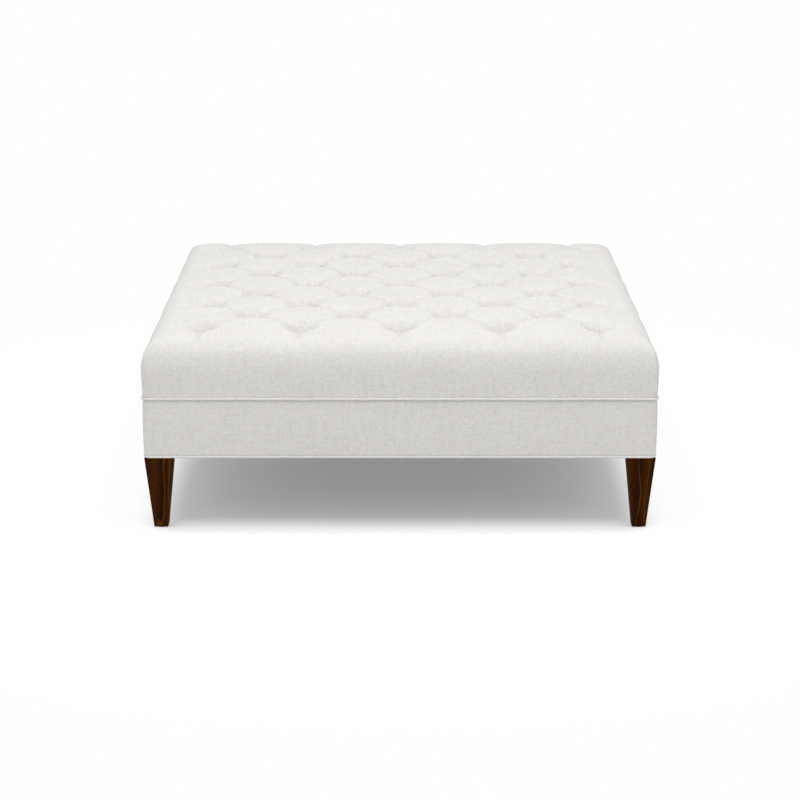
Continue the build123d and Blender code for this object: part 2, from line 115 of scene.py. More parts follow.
# %% Rounded square outlines
def square_walk(steps, straight_share):
    """Corner and normal directions for one walk round; steps run from -1 to 1 along a side, short of 1."""
    slide = np.clip(steps / straight_share, -1, 1)
    past = np.clip((np.abs(steps) - straight_share) / (1 - straight_share), 0, 1)
    angle = np.sign(steps) * past * np.pi / 4
    corners = [np.stack([np.ones_like(slide), slide], -1)]
    normals = [np.stack([np.cos(angle), np.sin(angle)], -1)]
    for _ in range(3):
        corners.append(corners[-1][:, ::-1] * (-1, 1))
        normals.append(normals[-1][:, ::-1] * (-1, 1))
    return np.concatenate(corners), np.concatenate(normals)


def graded_walk(straight_share, corner_steps, side_steps):
    """A walk with its own number of steps for each half corner and for each straight side."""
    marks = (-1, -straight_share, straight_share, 1)
    counts = (corner_steps, side_steps, corner_steps)
    parts = [np.linspace(marks[k], marks[k + 1], counts[k] + 1)[:-1] for k in range(3)]
    return square_walk(np.concatenate(parts), straight_share)


def square_outline(walk, half_width, radius):
    """Points of one outline: straight along the sides, and round by the radius at the corners."""
    corner, normal = walk
    return (half_width - radius) * corner + radius * normal


def flat_ring(walk, half_width, radius, height):
    """One outline as points in space, all at one height."""
    outline = square_outline(walk, half_width, radius)
    return np.column_stack([outline, np.full(len(outline), height)])


def walk_length(walk, half_width, radius):
    """Distance walked from the middle of each side, so that cloth is not stretched along it."""
    points = square_outline(walk, half_width, radius).reshape(4, -1, 2)
    ahead = np.concatenate([points[:, 1:], np.roll(points[:, :1], -1, axis=0)], 1)
    steps = np.linalg.norm(ahead - points, axis=2)
    along = np.concatenate([np.zeros((4, 1)), np.cumsum(steps, 1)], 1)
    return along - along[:, -1:] / 2


# %% Faces between outlines
def loop_quads(one, two):
    """Quads between two closed outlines, given by the numbers of their points; the skin faces outwards."""
    return np.stack([one, two, np.roll(two, -1), np.roll(one, -1)], -1)


def ring_faces(rings, count, first=0):
    """Quads between each outline and the next, for rings of count points each."""
    step = np.arange(count)
    starts = first + count * np.arange(rings - 1)
    return np.concatenate([loop_quads(start + step, start + count + step) for start in starts])


def fan(hub, ring):
    """Triangles between one middle point and a closed outline."""
    return np.stack([np.full(len(ring), hub), ring, np.roll(ring, -1)], -1)


def corner_pairs(field):
    """UV pairs for every corner of ring_faces, from a field of pairs by ring, side and step."""
    parts = [field[:-1, :, :-1], field[1:, :, :-1], field[1:, :, 1:], field[:-1, :, 1:]]
    return np.stack(parts, 3).reshape(-1, 2)


# %% [markdown]
# ## The cushion's outline
# Under the tufting, the cushion is a shallow dome with a round shoulder. Below the shoulder a wider arc
# runs down to the fullest place, a little under half way up, and from there the side is drawn in to where
# it is sewn to the piping. Arcs that meet at the same angle leave no edge between them, so a few radii and
# angles are enough here. The outline is a path from the middle of the top down to the seam, and each point
# on it has a half width, a height and a direction that it faces.

# %% Sizes of the cushion
cushion_half, cushion_foot, _ = box_limits("top_cover")
crest_height = 0.4155
shoulder_radius = 0.0512
crown_angle = math.radians(5.5)
side_bow_radius = 0.120
side_lean = math.radians(15)
side_full_rise = 0.056
side_pinch = 0.0017
side_radius = 0.014
tuft_pitch = 0.2088
half_pitch = tuft_pitch / 2
tuft_steps = 4
outer_row = tuft_steps * half_pitch
cell = half_pitch / 36
top_cells = 168
top_half = top_cells * cell
top_margin = top_half - outer_row
top_corner_radius = 0.012
print("cushion half width", short(cushion_half), "top grid half width", short(top_half))

# %% Outline from the edge of the top grid down to the seam
side_full_z = cushion_foot + side_full_rise
shoulder_x = cushion_half - side_bow_radius + (side_bow_radius - shoulder_radius) * math.cos(side_lean)
shoulder_z = side_full_z + (side_bow_radius - shoulder_radius) * math.sin(side_lean)
crown_end_x = shoulder_x + shoulder_radius * math.sin(crown_angle)
crown_end_z = shoulder_z + shoulder_radius * math.cos(crown_angle)
crown_softness = 0.012


def crown_height(distance):
    """Height of the untufted top: level in the middle, then a slope that runs into the round shoulder."""
    slope = math.tan(crown_angle)
    start = crown_end_x - (crest_height - crown_end_z) / slope
    bend = crown_softness * np.logaddexp(0, (distance - start) / crown_softness)
    dome = crest_height - slope * bend
    past = np.clip(distance - shoulder_x, 0, shoulder_radius)
    return np.where(distance > crown_end_x, shoulder_z + np.sqrt(shoulder_radius**2 - past**2), dome)


def side_outline(shoulder_rings=23, bow_rings=9, foot_rings=19):
    """Half widths, heights and facing angles: the shoulder's arc, a wider one below it, the pinched foot."""
    first_turn = math.asin((top_half - shoulder_x) / shoulder_radius)
    turn = np.linspace(first_turn, np.pi / 2 - side_lean, shoulder_rings + 1)[1:]
    arc_x = shoulder_x + shoulder_radius * np.sin(turn)
    arc_z = shoulder_z + shoulder_radius * np.cos(turn)
    bow_turn = np.linspace(np.pi / 2 - side_lean, np.pi / 2, bow_rings + 1)[1:]
    bow_x = cushion_half + side_bow_radius * (np.sin(bow_turn) - 1)
    bow_z = side_full_z + side_bow_radius * np.cos(bow_turn)
    down = np.linspace(0, 1, foot_rings + 1)[1:]
    foot_x = cushion_half - side_pinch * down**2
    foot_z = side_full_z - side_full_rise * down
    x, z = np.concatenate([arc_x, bow_x, foot_x]), np.concatenate([arc_z, bow_z, foot_z])
    return x, z, np.concatenate([turn, bow_turn, np.full(down.shape, np.pi / 2)])


side_x, side_z, side_angle = side_outline()
path_steps = np.hypot(np.diff(side_x, prepend=top_half), np.diff(side_z, prepend=crown_height(top_half)))
side_path = np.cumsum(path_steps)
corner_radii = np.interp(side_path, [0, shoulder_radius * 1.2], [top_corner_radius, side_radius])
print("outline of", len(side_x), "rings,", round(float(side_path[-1]), 3), "m from the top grid to the seam")

# %% [markdown]
# ## The tufting
# Cords pull the cover down at 41 points. Between neighbouring tufts the cloth folds into diagonal creases,
# so that the top becomes diamonds, each a small pillow with a broad crest. It could be sculpted by hand,
# but then no two pillows would match. Here the depth below the dome is a sum of a few simple curves, and
# most of them depend only on how far a point is from the two crease lines nearest to it: the round crest of
# the pillow and the sharp fold beside it.

# %% Creases between neighbouring tufts
crease_depth = 0.0092
crest_share = 0.14
fold_width = 0.0095
fold_reach = 0.028
crease_span = half_pitch / math.sqrt(2)


def to_nearest(values, period):
    """Distance from each value to the nearest whole multiple of the period."""
    return np.abs(values - period * np.round(values / period))


def crease_distances(u, v):
    """Distances from a point to the nearest crease of either diagonal direction."""
    return to_nearest(u + v, tuft_pitch) / math.sqrt(2), to_nearest(u - v, tuft_pitch) / math.sqrt(2)


def smooth_step(value):
    """0 below 0, 1 above 1, and a smooth S between."""
    value = np.clip(value, 0, 1)
    return value * value * (3 - 2 * value)


def fold(distance):
    """A sharp fold: 1 on the crease, falling away within a few fold widths."""
    return np.exp(-distance / fold_width)


def fold_pair(first, second):
    """Two crossing folds, each of which fades with the distance from where they cross."""
    return fold(first) * np.exp(-second / fold_reach) + fold(second) * np.exp(-first / fold_reach)


def crossing(first, second, span):
    """1 on either of two crossing creases, 0 in the middle between them: round crests plus sharp folds."""
    reach = np.pi / 2 / span
    crest = 1 - np.sin(reach * np.minimum(first, span)) * np.sin(reach * np.minimum(second, span))
    creased = 1 - (1 - fold(first)) * (1 - fold(second))
    return crest_share * crest + (1 - crest_share) * creased


print("pillows", short(crease_span * 2), "m across, creases", crease_depth, "m deep")

# %% [markdown]
# Outside the last row there is nothing to fold towards, so straight pleats run from each outer tuft over
# the shoulder and fade out on the side. In each corner two pleats meet. The depth of a pleat is a short
# table by the distance walked from its tuft, because that is how an upholsterer would measure it along the
# cloth.

# %% Straight pleats outside the last row
border_share = 0.42
pleat_marks = np.array([0, 0.03, top_margin + 0.01, top_margin + 0.05, top_margin + 0.08, top_margin + 0.15])
pleat_depths = np.array([crease_depth, 0.0085, 0.0078, 0.0036, 0.0014, 0.0006])
# Width and fade of the painted shade line along the bottoms of the pleats.
line_width = 0.0045
line_fade = 0.080


def border_place(u, v):
    """How far a point is outside the outer tufts in u, in v and in all, and how far from a straight pleat."""
    out_u = np.maximum(np.abs(u) - outer_row, 0)
    out_v = np.maximum(np.abs(v) - outer_row, 0)
    across = np.where(out_u > 0, to_nearest(v, tuft_pitch), to_nearest(u, tuft_pitch))
    return out_u, out_v, np.maximum(out_u, out_v), across


def single_pleat(distance, span):
    """1 on one straight pleat, 0 half way to the next."""
    crest = 1 - np.sin(np.pi / 2 / span * np.minimum(distance, span))
    return border_share * crest + (1 - border_share) * fold(distance)


def pleat_valley(distance):
    """Depth along a straight pleat, by the distance walked outwards from its tuft."""
    return np.interp(distance, pleat_marks, pleat_depths)


def pleat_shade_line(u, v):
    """Mask of the painted shade line: 1 on the bottom line of a pleat, 0 beside it, fading along the straight
    pleats outside the tufts.
    """
    out_u, out_v, outwards, across = border_place(u, v)
    across = np.where((out_u > 0) & (out_v > 0), np.minimum(out_u, out_v), across)
    nearest = np.where(outwards > 0, across, np.minimum(*crease_distances(u, v)))
    return np.exp(-((nearest / line_width) ** 2) - outwards / line_fade)


print("a pleat is", short(pleat_valley(top_margin)), "m deep at the edge of the top grid")

# %% [markdown]
# No two tufts are alike: the cloth gathers round each in its own few small waves. Their number, phase and
# strength come from a formula of the tuft's place in the grid, which looks random but gives the same table
# at every run.

# %% Small gathers round each tuft
pucker_depth = 0.0007
pucker_radius = 0.021
pucker_width = 0.013


def chance(first, second, seed):
    """A number from 0 to 1 that looks random but is the same for the same tuft every time."""
    wave = np.sin(12.9898 * first + 78.233 * second + seed) * 43758.5453
    return wave - np.floor(wave)


def puckers(u, v):
    """Small gathers round each tuft: a wave round the circle, tallest at a set distance from the tuft."""
    near_u, near_v = np.clip(u, -outer_row, outer_row), np.clip(v, -outer_row, outer_row)
    first = np.round((near_u + near_v) / tuft_pitch)
    second = np.round((near_u - near_v) / tuft_pitch)
    off_u = u - (first + second) * half_pitch
    off_v = v - (first - second) * half_pitch
    away = np.hypot(off_u, off_v)
    around = np.arctan2(off_v, off_u)
    waves = 7 + np.floor(5 * chance(first, second, 1.0))
    phase = 2 * np.pi * chance(first, second, 2.0)
    sway = 0.9 * np.sin(2 * around + 2 * np.pi * chance(first, second, 3.0))
    strength = 0.6 + 0.8 * chance(first, second, 4.0)
    swell = np.exp(-(((away - pucker_radius) / pucker_width) ** 2))
    return pucker_depth * strength * swell * np.cos(waves * around + phase + sway)


print("to the right of the middle tuft the gathers add", short(puckers(pucker_radius, 0.0)), "m of depth")

# %% [markdown]
# The last part is the hollow over each tuft: a steep funnel inside a wider and gentler slope. The whole
# depth is chosen zone by zone, from the field of diamonds, the border beside it or a corner, and all three
# agree where they meet.

# %% The whole depth below the dome
fold_depth = 0.0030
tuft_depth = 0.038
hollow_radius = 0.043
slope_radius = 0.072
slope_share = 0.10
outward_squeeze = 1.25
blend_reach = 0.07
corner_span = 0.115
corner_drop = 0.0030
edge_reach = 0.035


def tuft_depth_at(u, v):
    """Depth below the dome at cloth coordinates u and v, measured from the middle of the cushion."""
    first, second = crease_distances(u, v)
    out_u, out_v, outwards, across = border_place(u, v)
    reach = np.hypot(out_u, out_v)
    zones = [(out_u > 0) & (out_v > 0), outwards > 0]

    blend = smooth_step(outwards / blend_reach)
    near = across / math.sqrt(2)
    side = (1 - blend) * crossing(near, near, crease_span) + blend * single_pleat(across, half_pitch)
    border = pleat_valley(outwards) * side
    over_edge = smooth_step((outwards - top_margin) / edge_reach)
    drop = corner_drop * (1 - over_edge) * smooth_step(np.minimum(out_u, out_v) / corner_span)
    corner = pleat_valley(reach) * crossing(out_u, out_v, corner_span) + drop
    depth = np.select(zones, [corner, border], crease_depth * crossing(first, second, crease_span))

    spread = (1 - blend) * 2 * fold(near) * np.exp(-near / fold_reach) + blend * fold(across)
    border_fold = spread * np.exp(-outwards / fold_reach)
    folds = np.select(zones, [fold_pair(out_u, out_v), border_fold], fold_pair(first, second))

    border_radius = np.hypot(outward_squeeze * outwards, across)
    radius = np.select(zones, [outward_squeeze * reach, border_radius], np.hypot(first, second))
    funnel = (1 - slope_share) * (1 - smooth_step(radius / hollow_radius))
    slope = slope_share * (1 - smooth_step(radius / slope_radius))
    hollow = (tuft_depth - crease_depth - fold_depth) * (funnel + slope)
    return depth + fold_depth * np.minimum(folds, 1) + hollow + puckers(u, v)


print("depth at the middle tuft", short(tuft_depth_at(np.zeros(1), np.zeros(1))[0]))

# %% [markdown]
# ## The cover's mesh
# The top is a square grid whose lines pass through every tuft, so each crease runs exactly along the
# diagonals of its cells. Each cell is cut into two triangles along its deeper diagonal, which keeps the
# creases straight. The sides are rings that start at the edge of the grid and walk down the outline.

# %% Square grids
def grid_corners(count):
    """Point numbers at the four corners of every cell of a square grid, anticlockwise seen from above."""
    row, column = np.meshgrid(np.arange(count - 1), np.arange(count - 1), indexing="ij")
    here = row * count + column
    return here, here + count, here + count + 1, here + 1


def grid_triangles(heights):
    """Two triangles per cell of a square grid, cut along the diagonal with the lower pair of corners."""
    a, b, c, d = grid_corners(len(heights))
    level = heights.ravel()
    down = (level[a] + level[c] <= level[b] + level[d])[..., None]
    one = np.where(down, np.stack([a, b, c], -1), np.stack([a, b, d], -1))
    two = np.where(down, np.stack([a, c, d], -1), np.stack([b, c, d], -1))
    return np.concatenate([one.reshape(-1, 3), two.reshape(-1, 3)])


def grid_border(count):
    """Point numbers round a square grid, in the order of the walk: right side first, then anticlockwise."""
    k = np.arange(count - 1)
    last = count - 1
    return np.concatenate([last * count + k, (last - k) * count + last, last - k, k * count])


# %% Points of the top grid
rounding_start = 0.432
corner_share = 0.045
lines = np.arange(-top_cells, top_cells + 1) / top_cells
grid_a, grid_b = np.meshgrid(lines, lines, indexing="ij")
ring_share = np.maximum(np.maximum(np.abs(grid_a), np.abs(grid_b)), 1e-9)
side_a, side_b = grid_a / ring_share, grid_b / ring_share
rounding = smooth_step((ring_share * top_half - rounding_start) / (top_half - rounding_start))
straight = 1 - corner_share * rounding
lesser = np.minimum(np.abs(side_a), np.abs(side_b))
past = np.clip((lesser - straight) / np.maximum(1 - straight, 1e-9), 0, 1) * np.pi / 4
on_right = np.abs(side_a) >= np.abs(side_b)
normal_a = np.sign(side_a) * np.where(on_right, np.cos(past), np.sin(past))
normal_b = np.sign(side_b) * np.where(on_right, np.sin(past), np.cos(past))
radius = top_corner_radius * rounding
top_u = (ring_share * top_half - radius) * np.clip(side_a / straight, -1, 1) + radius * normal_a
top_v = (ring_share * top_half - radius) * np.clip(side_b / straight, -1, 1) + radius * normal_b
top_z = crown_height(ring_share * top_half) - tuft_depth_at(top_u, top_v)
top_points = np.stack([top_u, top_v, top_z], -1)
print("top grid", top_points.shape, "from", short(top_z.min()), "to", short(top_z.max()))

# %% [markdown]
# ## Let the cloth settle
# A formula alone looks too even. Real cloth over stuffing is pushed out by it and finds its own rest
# between the tufts, so a short Cloth simulation follows. It runs under a light pressure on every second
# line of the grid, which is quick, with the tufts and the edge pinned and the rest held softly near its
# start. The move that it finds is capped, faded out towards the edge and added to the fine grid, and then
# the modifier is no longer needed.

# %% Run a cloth simulation and keep its last shape
cloth_settings = {
    "quality": 5,
    "mass": 0.3,
    "tension_stiffness": 20,
    "compression_stiffness": 20,
    "shear_stiffness": 5,
    "bending_stiffness": 0.2,
    "use_pressure": True,
    "uniform_pressure_force": 1.5,
    "shrink_min": -0.008,
    "vertex_group_mass": "held",
}
settle_frames = 20


def settled(points, faces, held):
    """Points after a cloth simulation under pressure; held is 0 for free points and 1 for pinned ones."""
    trial = make_piece("cover_trial", points, [faces])
    group = trial.vertex_groups.new(name="held")
    for level in np.unique(held):
        group.add(np.flatnonzero(held == level).tolist(), float(level), "REPLACE")
    settings = trial.modifiers.new("cloth", "CLOTH").settings
    for name, value in cloth_settings.items():
        setattr(settings, name, value)
    settings.effector_weights.gravity = 0
    scene = bpy.context.scene
    for number in range(1, settle_frames + 1):
        scene.frame_set(number)
    shape = trial.evaluated_get(bpy.context.evaluated_depsgraph_get()).data
    moved = np.empty(len(points) * 3, dtype=np.float32)
    shape.vertices.foreach_get("co", moved)
    scene.frame_set(1)
    bpy.data.objects.remove(trial)
    return moved.reshape(-1, 3)


def upsampled(field):
    """The values of a coarse grid on a grid with one more line between every two."""
    rows = np.repeat(field, 2, axis=0)[:-1]
    rows[1::2] = (field[:-1] + field[1:]) / 2
    both = np.repeat(rows, 2, axis=1)[:, :-1]
    both[:, 1::2] = (rows[:, :-1] + rows[:, 1:]) / 2
    return both


print("cloth pressure", cloth_settings["uniform_pressure_force"], "for", settle_frames, "frames")

# %% Settle the top
move_cap = 0.004
held_radius = 0.009
soft_hold = 0.2
pinned_lines = 2.5
edge_fade = 0.12
coarse = top_points[::2, ::2]
edge_share = ring_share[::2, ::2]
pinned = np.hypot(*crease_distances(coarse[..., 0], coarse[..., 1])) < held_radius
pinned |= edge_share > 1 - pinned_lines / len(coarse)
move = np.zeros_like(coarse)
held = np.where(pinned, 1.0, soft_hold).ravel()
move = settled(coarse.reshape(-1, 3), grid_triangles(coarse[..., 2]), held).reshape(coarse.shape) - coarse
length = np.linalg.norm(move, axis=-1, keepdims=True)
capped = np.minimum(1, move_cap / np.maximum(length, 1e-9))
move *= capped * smooth_step((1 - edge_share[..., None]) / edge_fade)
print("cloth moved", short(length.max()), "at most and", short(length.mean()), "on average")
top_points = top_points + upsampled(move)
top_z = top_points[..., 2]
print("settled top from", short(top_z.min()), "to", short(top_z.max()))

# %% Points of the sides
walk = square_walk(lines[:-1], 1 - corner_share)
walk_count = len(walk[0])
wrap = np.stack([square_outline(walk, x, r) for x, r in zip(side_x, corner_radii)])
flat = side_x - corner_radii
cloth_reach = top_half + side_path - flat
side_uv = flat[:, None, None] * walk[0] + cloth_reach[:, None, None] * walk[1]
depth = tuft_depth_at(side_uv[..., 0], side_uv[..., 1])
side_xy = wrap - (depth * np.sin(side_angle)[:, None])[..., None] * walk[1]
side_height = side_z[:, None] - depth * np.cos(side_angle)[:, None]
side_points = np.concatenate([side_xy, side_height[..., None]], -1)
print("sides", side_points.shape)

# %% Join the top grid, the sides and the turned-in hem
border = grid_border(len(lines))
top_faces = grid_triangles(top_z)
first_ring = top_z.size
seam_faces = loop_quads(border, first_ring + np.arange(walk_count))
side_faces = ring_faces(len(side_x), walk_count, first_ring)

deck_half, deck_bottom, deck_top = box_limits("deck_panel")
foam_half, foam_bottom, foam_top = box_limits("foam_core")
rail_inner_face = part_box("right_rail")[0][0]
gap, side_gap = 0.0003, 0.0004
hem_radius = 0.0005
turn_in_half = rail_inner_face + gap
hem_profile = [
    (turn_in_half, hem_radius, cushion_foot),
    (turn_in_half, hem_radius, deck_bottom),
    (deck_half + side_gap, side_radius, deck_bottom),
    (deck_half + side_gap, side_radius, deck_top + gap),
    (foam_half + side_gap, side_radius, deck_top + gap),
    (foam_half + side_gap, side_radius, foam_top + gap),
]
hem_points = np.concatenate([flat_ring(walk, *level) for level in hem_profile])
hem_first = first_ring + side_points.shape[0] * walk_count
hem_faces = ring_faces(len(hem_profile) + 1, walk_count, hem_first - walk_count)
print("faces", len(top_faces), len(side_faces), len(hem_faces))

# %% [markdown]
# The inside of the cover is closed by a lining that lies over the foam and follows the skin down into every
# tuft, so the cover is one closed, hollow piece like the real one. Nobody sees it, so its grid is six times
# coarser, and a row of triangles steps down from the fine outline to the coarse one.

# %% The lining inside the cover
stride = 6
lining_gap = 0.004
lining_z = np.minimum(top_z[::stride, ::stride] - lining_gap, foam_top + gap)
lining_points = as_points(top_u[::stride, ::stride], top_v[::stride, ::stride], lining_z)
lining_first = hem_first + len(hem_points)
lining_faces = grid_triangles(lining_z)[:, ::-1] + lining_first
lining_border = grid_border(len(lining_z)) + lining_first


def step_down(fine, coarse, stride):
    """Triangles between a fine closed outline and one with only every stride-th point."""
    k = np.arange(len(coarse))
    here, ahead = coarse, np.roll(coarse, -1)
    half = stride // 2
    sets = []
    for part in range(stride):
        hub = here if part < half else ahead
        one, two = fine[k * stride + part], fine[(k * stride + part + 1) % len(fine)]
        sets.append(np.stack([hub, one, two], -1))
    sets.append(np.stack([here, fine[k * stride + half], ahead], -1))
    return np.concatenate(sets)


closing_faces = step_down(lining_first - walk_count + np.arange(walk_count), lining_border, stride)
print("lining", len(lining_points), "points")


# %% Cloth coordinates of the cover
def turned(reach, along, quarter):
    """Cloth coordinates of one side, turned by its quarter so that they meet those of the top."""
    flat_uv = np.stack([reach, along], -1)
    for _ in range(quarter):
        flat_uv = np.stack([-flat_uv[..., 1], flat_uv[..., 0]], -1)
    return flat_uv


def side_cloth(reach, along):
    """UV pairs for the corners of ring_faces; reach is given by ring, along by ring, side and step."""
    spread = np.broadcast_to(reach[:, None], (len(reach), along.shape[2]))
    return corner_pairs(np.stack([turned(spread, along[:, side], side) for side in range(4)], 1))


reach = top_half + np.concatenate([[0], side_path])
all_x = np.concatenate([[top_half], side_x])
all_r = np.concatenate([[top_corner_radius], corner_radii])
along = np.stack([walk_length(walk, x, r) for x, r in zip(all_x, all_r)])
top_uv = np.stack([top_u, top_v], -1).reshape(-1, 2)
hidden = np.zeros((hem_faces.size, 2))
lining_uv = np.zeros((lining_faces.size + closing_faces.size, 2))
cover_uv = np.concatenate([side_cloth(reach, along), hidden, top_uv[top_faces.ravel()], lining_uv])
print("cloth reaches", round(float(reach[-1]), 3), "m from the middle of the top to the seam")

# %% [markdown]
# Besides its UV map the cover carries a point attribute named "tuck": how deep each point lies, and a
# little more on the bottom line of each pleat. The linen's material reads it and paints shade into the
# bottoms of the folds, darker than the few bounces of light in a render make them.

# %% The cover as one piece
# How much painted shade the line along each pleat's bottom adds.
line_shade = 0.010
skins = [top_points.reshape(-1, 3), side_points.reshape(-1, 3), hem_points, lining_points]
cover_points = np.concatenate(skins)
cover_quads = np.concatenate([seam_faces, side_faces, hem_faces])
cover_triangles = np.concatenate([top_faces, lining_faces, closing_faces])
tufted_cover = make_piece("tufted_cover", cover_points, [cover_quads, cover_triangles], cover_uv)
# The point attribute holds painted shade: the depth below the dome, plus a line along each pleat's bottom.
fold_shade_values = np.zeros(len(cover_points), dtype=np.float32)
fold_shade_values[:first_ring] = (tuft_depth_at(top_u, top_v) + line_shade * pleat_shade_line(top_u, top_v)).ravel()
fold_shade_values[first_ring:hem_first] = depth.ravel()
tufted_cover.data.attributes.new("fold_shade", "FLOAT", "POINT").data.foreach_set("value", fold_shade_values)
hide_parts("top_cover")
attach(tufted_cover, "root")

# %% [markdown]
# ## The foam under the cover
# Every tuft presses the foam down with it. The slab's upper face follows the skin at a fixed distance
# wherever that is lower than the slab, and at each tuft a narrow passage goes down to the deck for the
# cord.

# %% Foam slab
wadding = 0.007
passage_end = 0.001
foam_cell = half_pitch / 12
foam_steps = math.ceil(foam_half / foam_cell)
foam_lines = np.clip(np.arange(-foam_steps, foam_steps + 1) * foam_cell, -foam_half, foam_half)
foam_u, foam_v = np.meshgrid(foam_lines, foam_lines, indexing="ij")
foam_ring = np.maximum(np.abs(foam_u), np.abs(foam_v))
foam_z = np.minimum(foam_top, crown_height(foam_ring) - tuft_depth_at(foam_u, foam_v) - wadding)
at_tuft = np.hypot(*crease_distances(foam_u, foam_v)) < foam_cell / 2
foam_z = np.where(at_tuft & (foam_ring < outer_row + foam_cell), foam_bottom + passage_end, foam_z)
foam_skin = as_points(foam_u, foam_v, foam_z)
foam_rim = grid_border(len(foam_lines))
foam_base = foam_skin[foam_rim] * (1, 1, 0) + (0, 0, foam_bottom)
foam_points = np.concatenate([foam_skin, foam_base, [(0, 0, foam_bottom)]])
base_ring = len(foam_skin) + np.arange(len(foam_rim))
foam_fan = fan(len(foam_points) - 1, base_ring)[:, [0, 2, 1]]
foam_faces = [loop_quads(foam_rim, base_ring), np.concatenate([grid_triangles(foam_z), foam_fan])]
foam_slab = make_piece("foam_slab", foam_points, foam_faces, smooth=False)
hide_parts("foam_core")
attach(foam_slab, "root")

# %% [markdown]
# ## Piping
# Piping is a cord sewn into a strip of the same cloth, cut on the bias so that it bends round corners. Its
# flat lip is caught between the two layers of the seam. A closed profile, a circle with a thin tail, is
# carried round the rounded square. Every point of the profile has its own half width, so the lip keeps its
# square corners inside the frame. The upper lip lies on the band, and the lower one is level with the dust
# cover.

# %% Carry a profile round the box
piping_walk = graded_walk(0.9, 8, 180)
cord_radius = 0.0025
lip_thick = 0.0012
tightest_turn = 0.0004
cord_steps = 22


def cord_profile(cord_half, cord_height, lip_bottom):
    """Half widths and heights: nearly a full circle round the cord, then out along the lip and back."""
    lip = np.array([lip_bottom, lip_bottom + lip_thick])
    low, high = np.arcsin(np.clip((lip - cord_height) / cord_radius, -1, 1))
    turn = np.linspace(math.pi - high, -math.pi - low, cord_steps)
    x = cord_half + cord_radius * np.cos(turn)
    z = cord_height + cord_radius * np.sin(turn)
    return np.concatenate([x, [turn_in_half, turn_in_half]]), np.concatenate([z, lip])


def wrapped_profile(name, profile_x, profile_z, outer_half, outer_radius):
    """A closed profile carried round the rounded square; inner points of it turn a tighter corner."""
    radii = np.maximum(outer_radius - (outer_half - profile_x), tightest_turn)
    points = np.concatenate([flat_ring(piping_walk, *level) for level in zip(profile_x, radii, profile_z)])
    around = np.concatenate([[0], np.cumsum(np.hypot(np.diff(profile_x), np.diff(profile_z)))])
    middle = walk_length(piping_walk, outer_half, outer_radius)
    along = middle + 2 * middle[0, -1] * np.arange(4)[:, None]
    pairs = np.stack(np.broadcast_arrays(along, around[:, None, None]), -1)
    step = np.arange(len(piping_walk[0]))
    closing = loop_quads((len(profile_x) - 1) * len(step) + step, step)
    faces = np.concatenate([ring_faces(len(profile_x), len(step)), closing])
    cloth = np.concatenate([corner_pairs(pairs), np.zeros((closing.size, 2))])
    return make_piece(name, points, [faces], cloth)


# %% Piping round the cushion and round the bottom of the box
seam_half, seam_bottom, seam_top = box_limits("seam_piping")
hem_half, hem_bottom, hem_top = box_limits("hem_piping")
band_half, band_bottom, band_top = box_limits("base_band")
dust_half, dust_bottom, dust_top = box_limits("dust_cover")
cord_turn = side_radius + seam_half - cushion_half
seam_x, seam_z = cord_profile(seam_half - cord_radius, (seam_bottom + seam_top) / 2, band_top)
hem_x, hem_z = cord_profile(hem_half - cord_radius, (hem_bottom + hem_top) / 2, dust_top)
seam_welt = wrapped_profile("seam_welt", seam_x, seam_z, seam_half, cord_turn)
hem_welt = wrapped_profile("hem_welt", hem_x, hem_z, hem_half, cord_turn)
for piece, node in ((seam_welt, "seam_piping"), (hem_welt, "hem_piping")):
    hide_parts(node)
    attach(piece, "root")

# %% [markdown]
# ## The band round the box
# A strip of the same cloth over thin padding covers the four rails. It is turned over the rails above and
# under them below, and both pipings hold it. Its face swells very slightly between the pipings.

# %% Band
band_radius = side_radius - 0.001
band_cloth = 0.0018
band_inset, band_swell = 0.0008, 0.0014
foot_step, head_step = 0.0004, 0.0003
rail_gap, hem_cord_gap, seam_cord_gap = 0.0001, 0.0004, 0.0006
face_foot, face_head, face_rows = hem_top + 0.0001, seam_bottom - 0.0005, 34
rail_room = box_limits("front_rail")[0] + rail_gap
behind_hem_cord = hem_half - 2 * cord_radius - hem_cord_gap
behind_seam_cord = seam_half - 2 * cord_radius - seam_cord_gap
face_z = np.linspace(face_foot, face_head, face_rows)
share = (face_z - face_z[0]) / (face_z[-1] - face_z[0])
face_x = band_half - band_inset + band_swell * np.sin(np.pi * share) ** 0.8
band_x = np.concatenate([
    [turn_in_half, behind_hem_cord, behind_hem_cord], face_x, [behind_seam_cord, behind_seam_cord],
    [turn_in_half, turn_in_half, rail_room, rail_room, turn_in_half],
])
band_z = np.concatenate([
    [band_bottom, band_bottom, face_z[0] - foot_step], face_z,
    [face_z[-1] + head_step, band_top, band_top, band_top - band_cloth, band_top - band_cloth],
    [band_bottom + band_cloth, band_bottom + band_cloth],
])
base_cloth = wrapped_profile("base_cloth", band_x[::-1], band_z[::-1], band_half, band_radius)
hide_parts("base_band")
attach(base_cloth, "root")

# %% [markdown]
# ## Dust cover and staples
# A thin black cloth closes the box from below. Between its staples it hangs down by less than a millimetre.
# Its edge is folded in, and wire staples hold it to the frame. One staple is a bent wire: two short legs
# and a bridge. All of them are copies of the same few points, placed by array arithmetic.

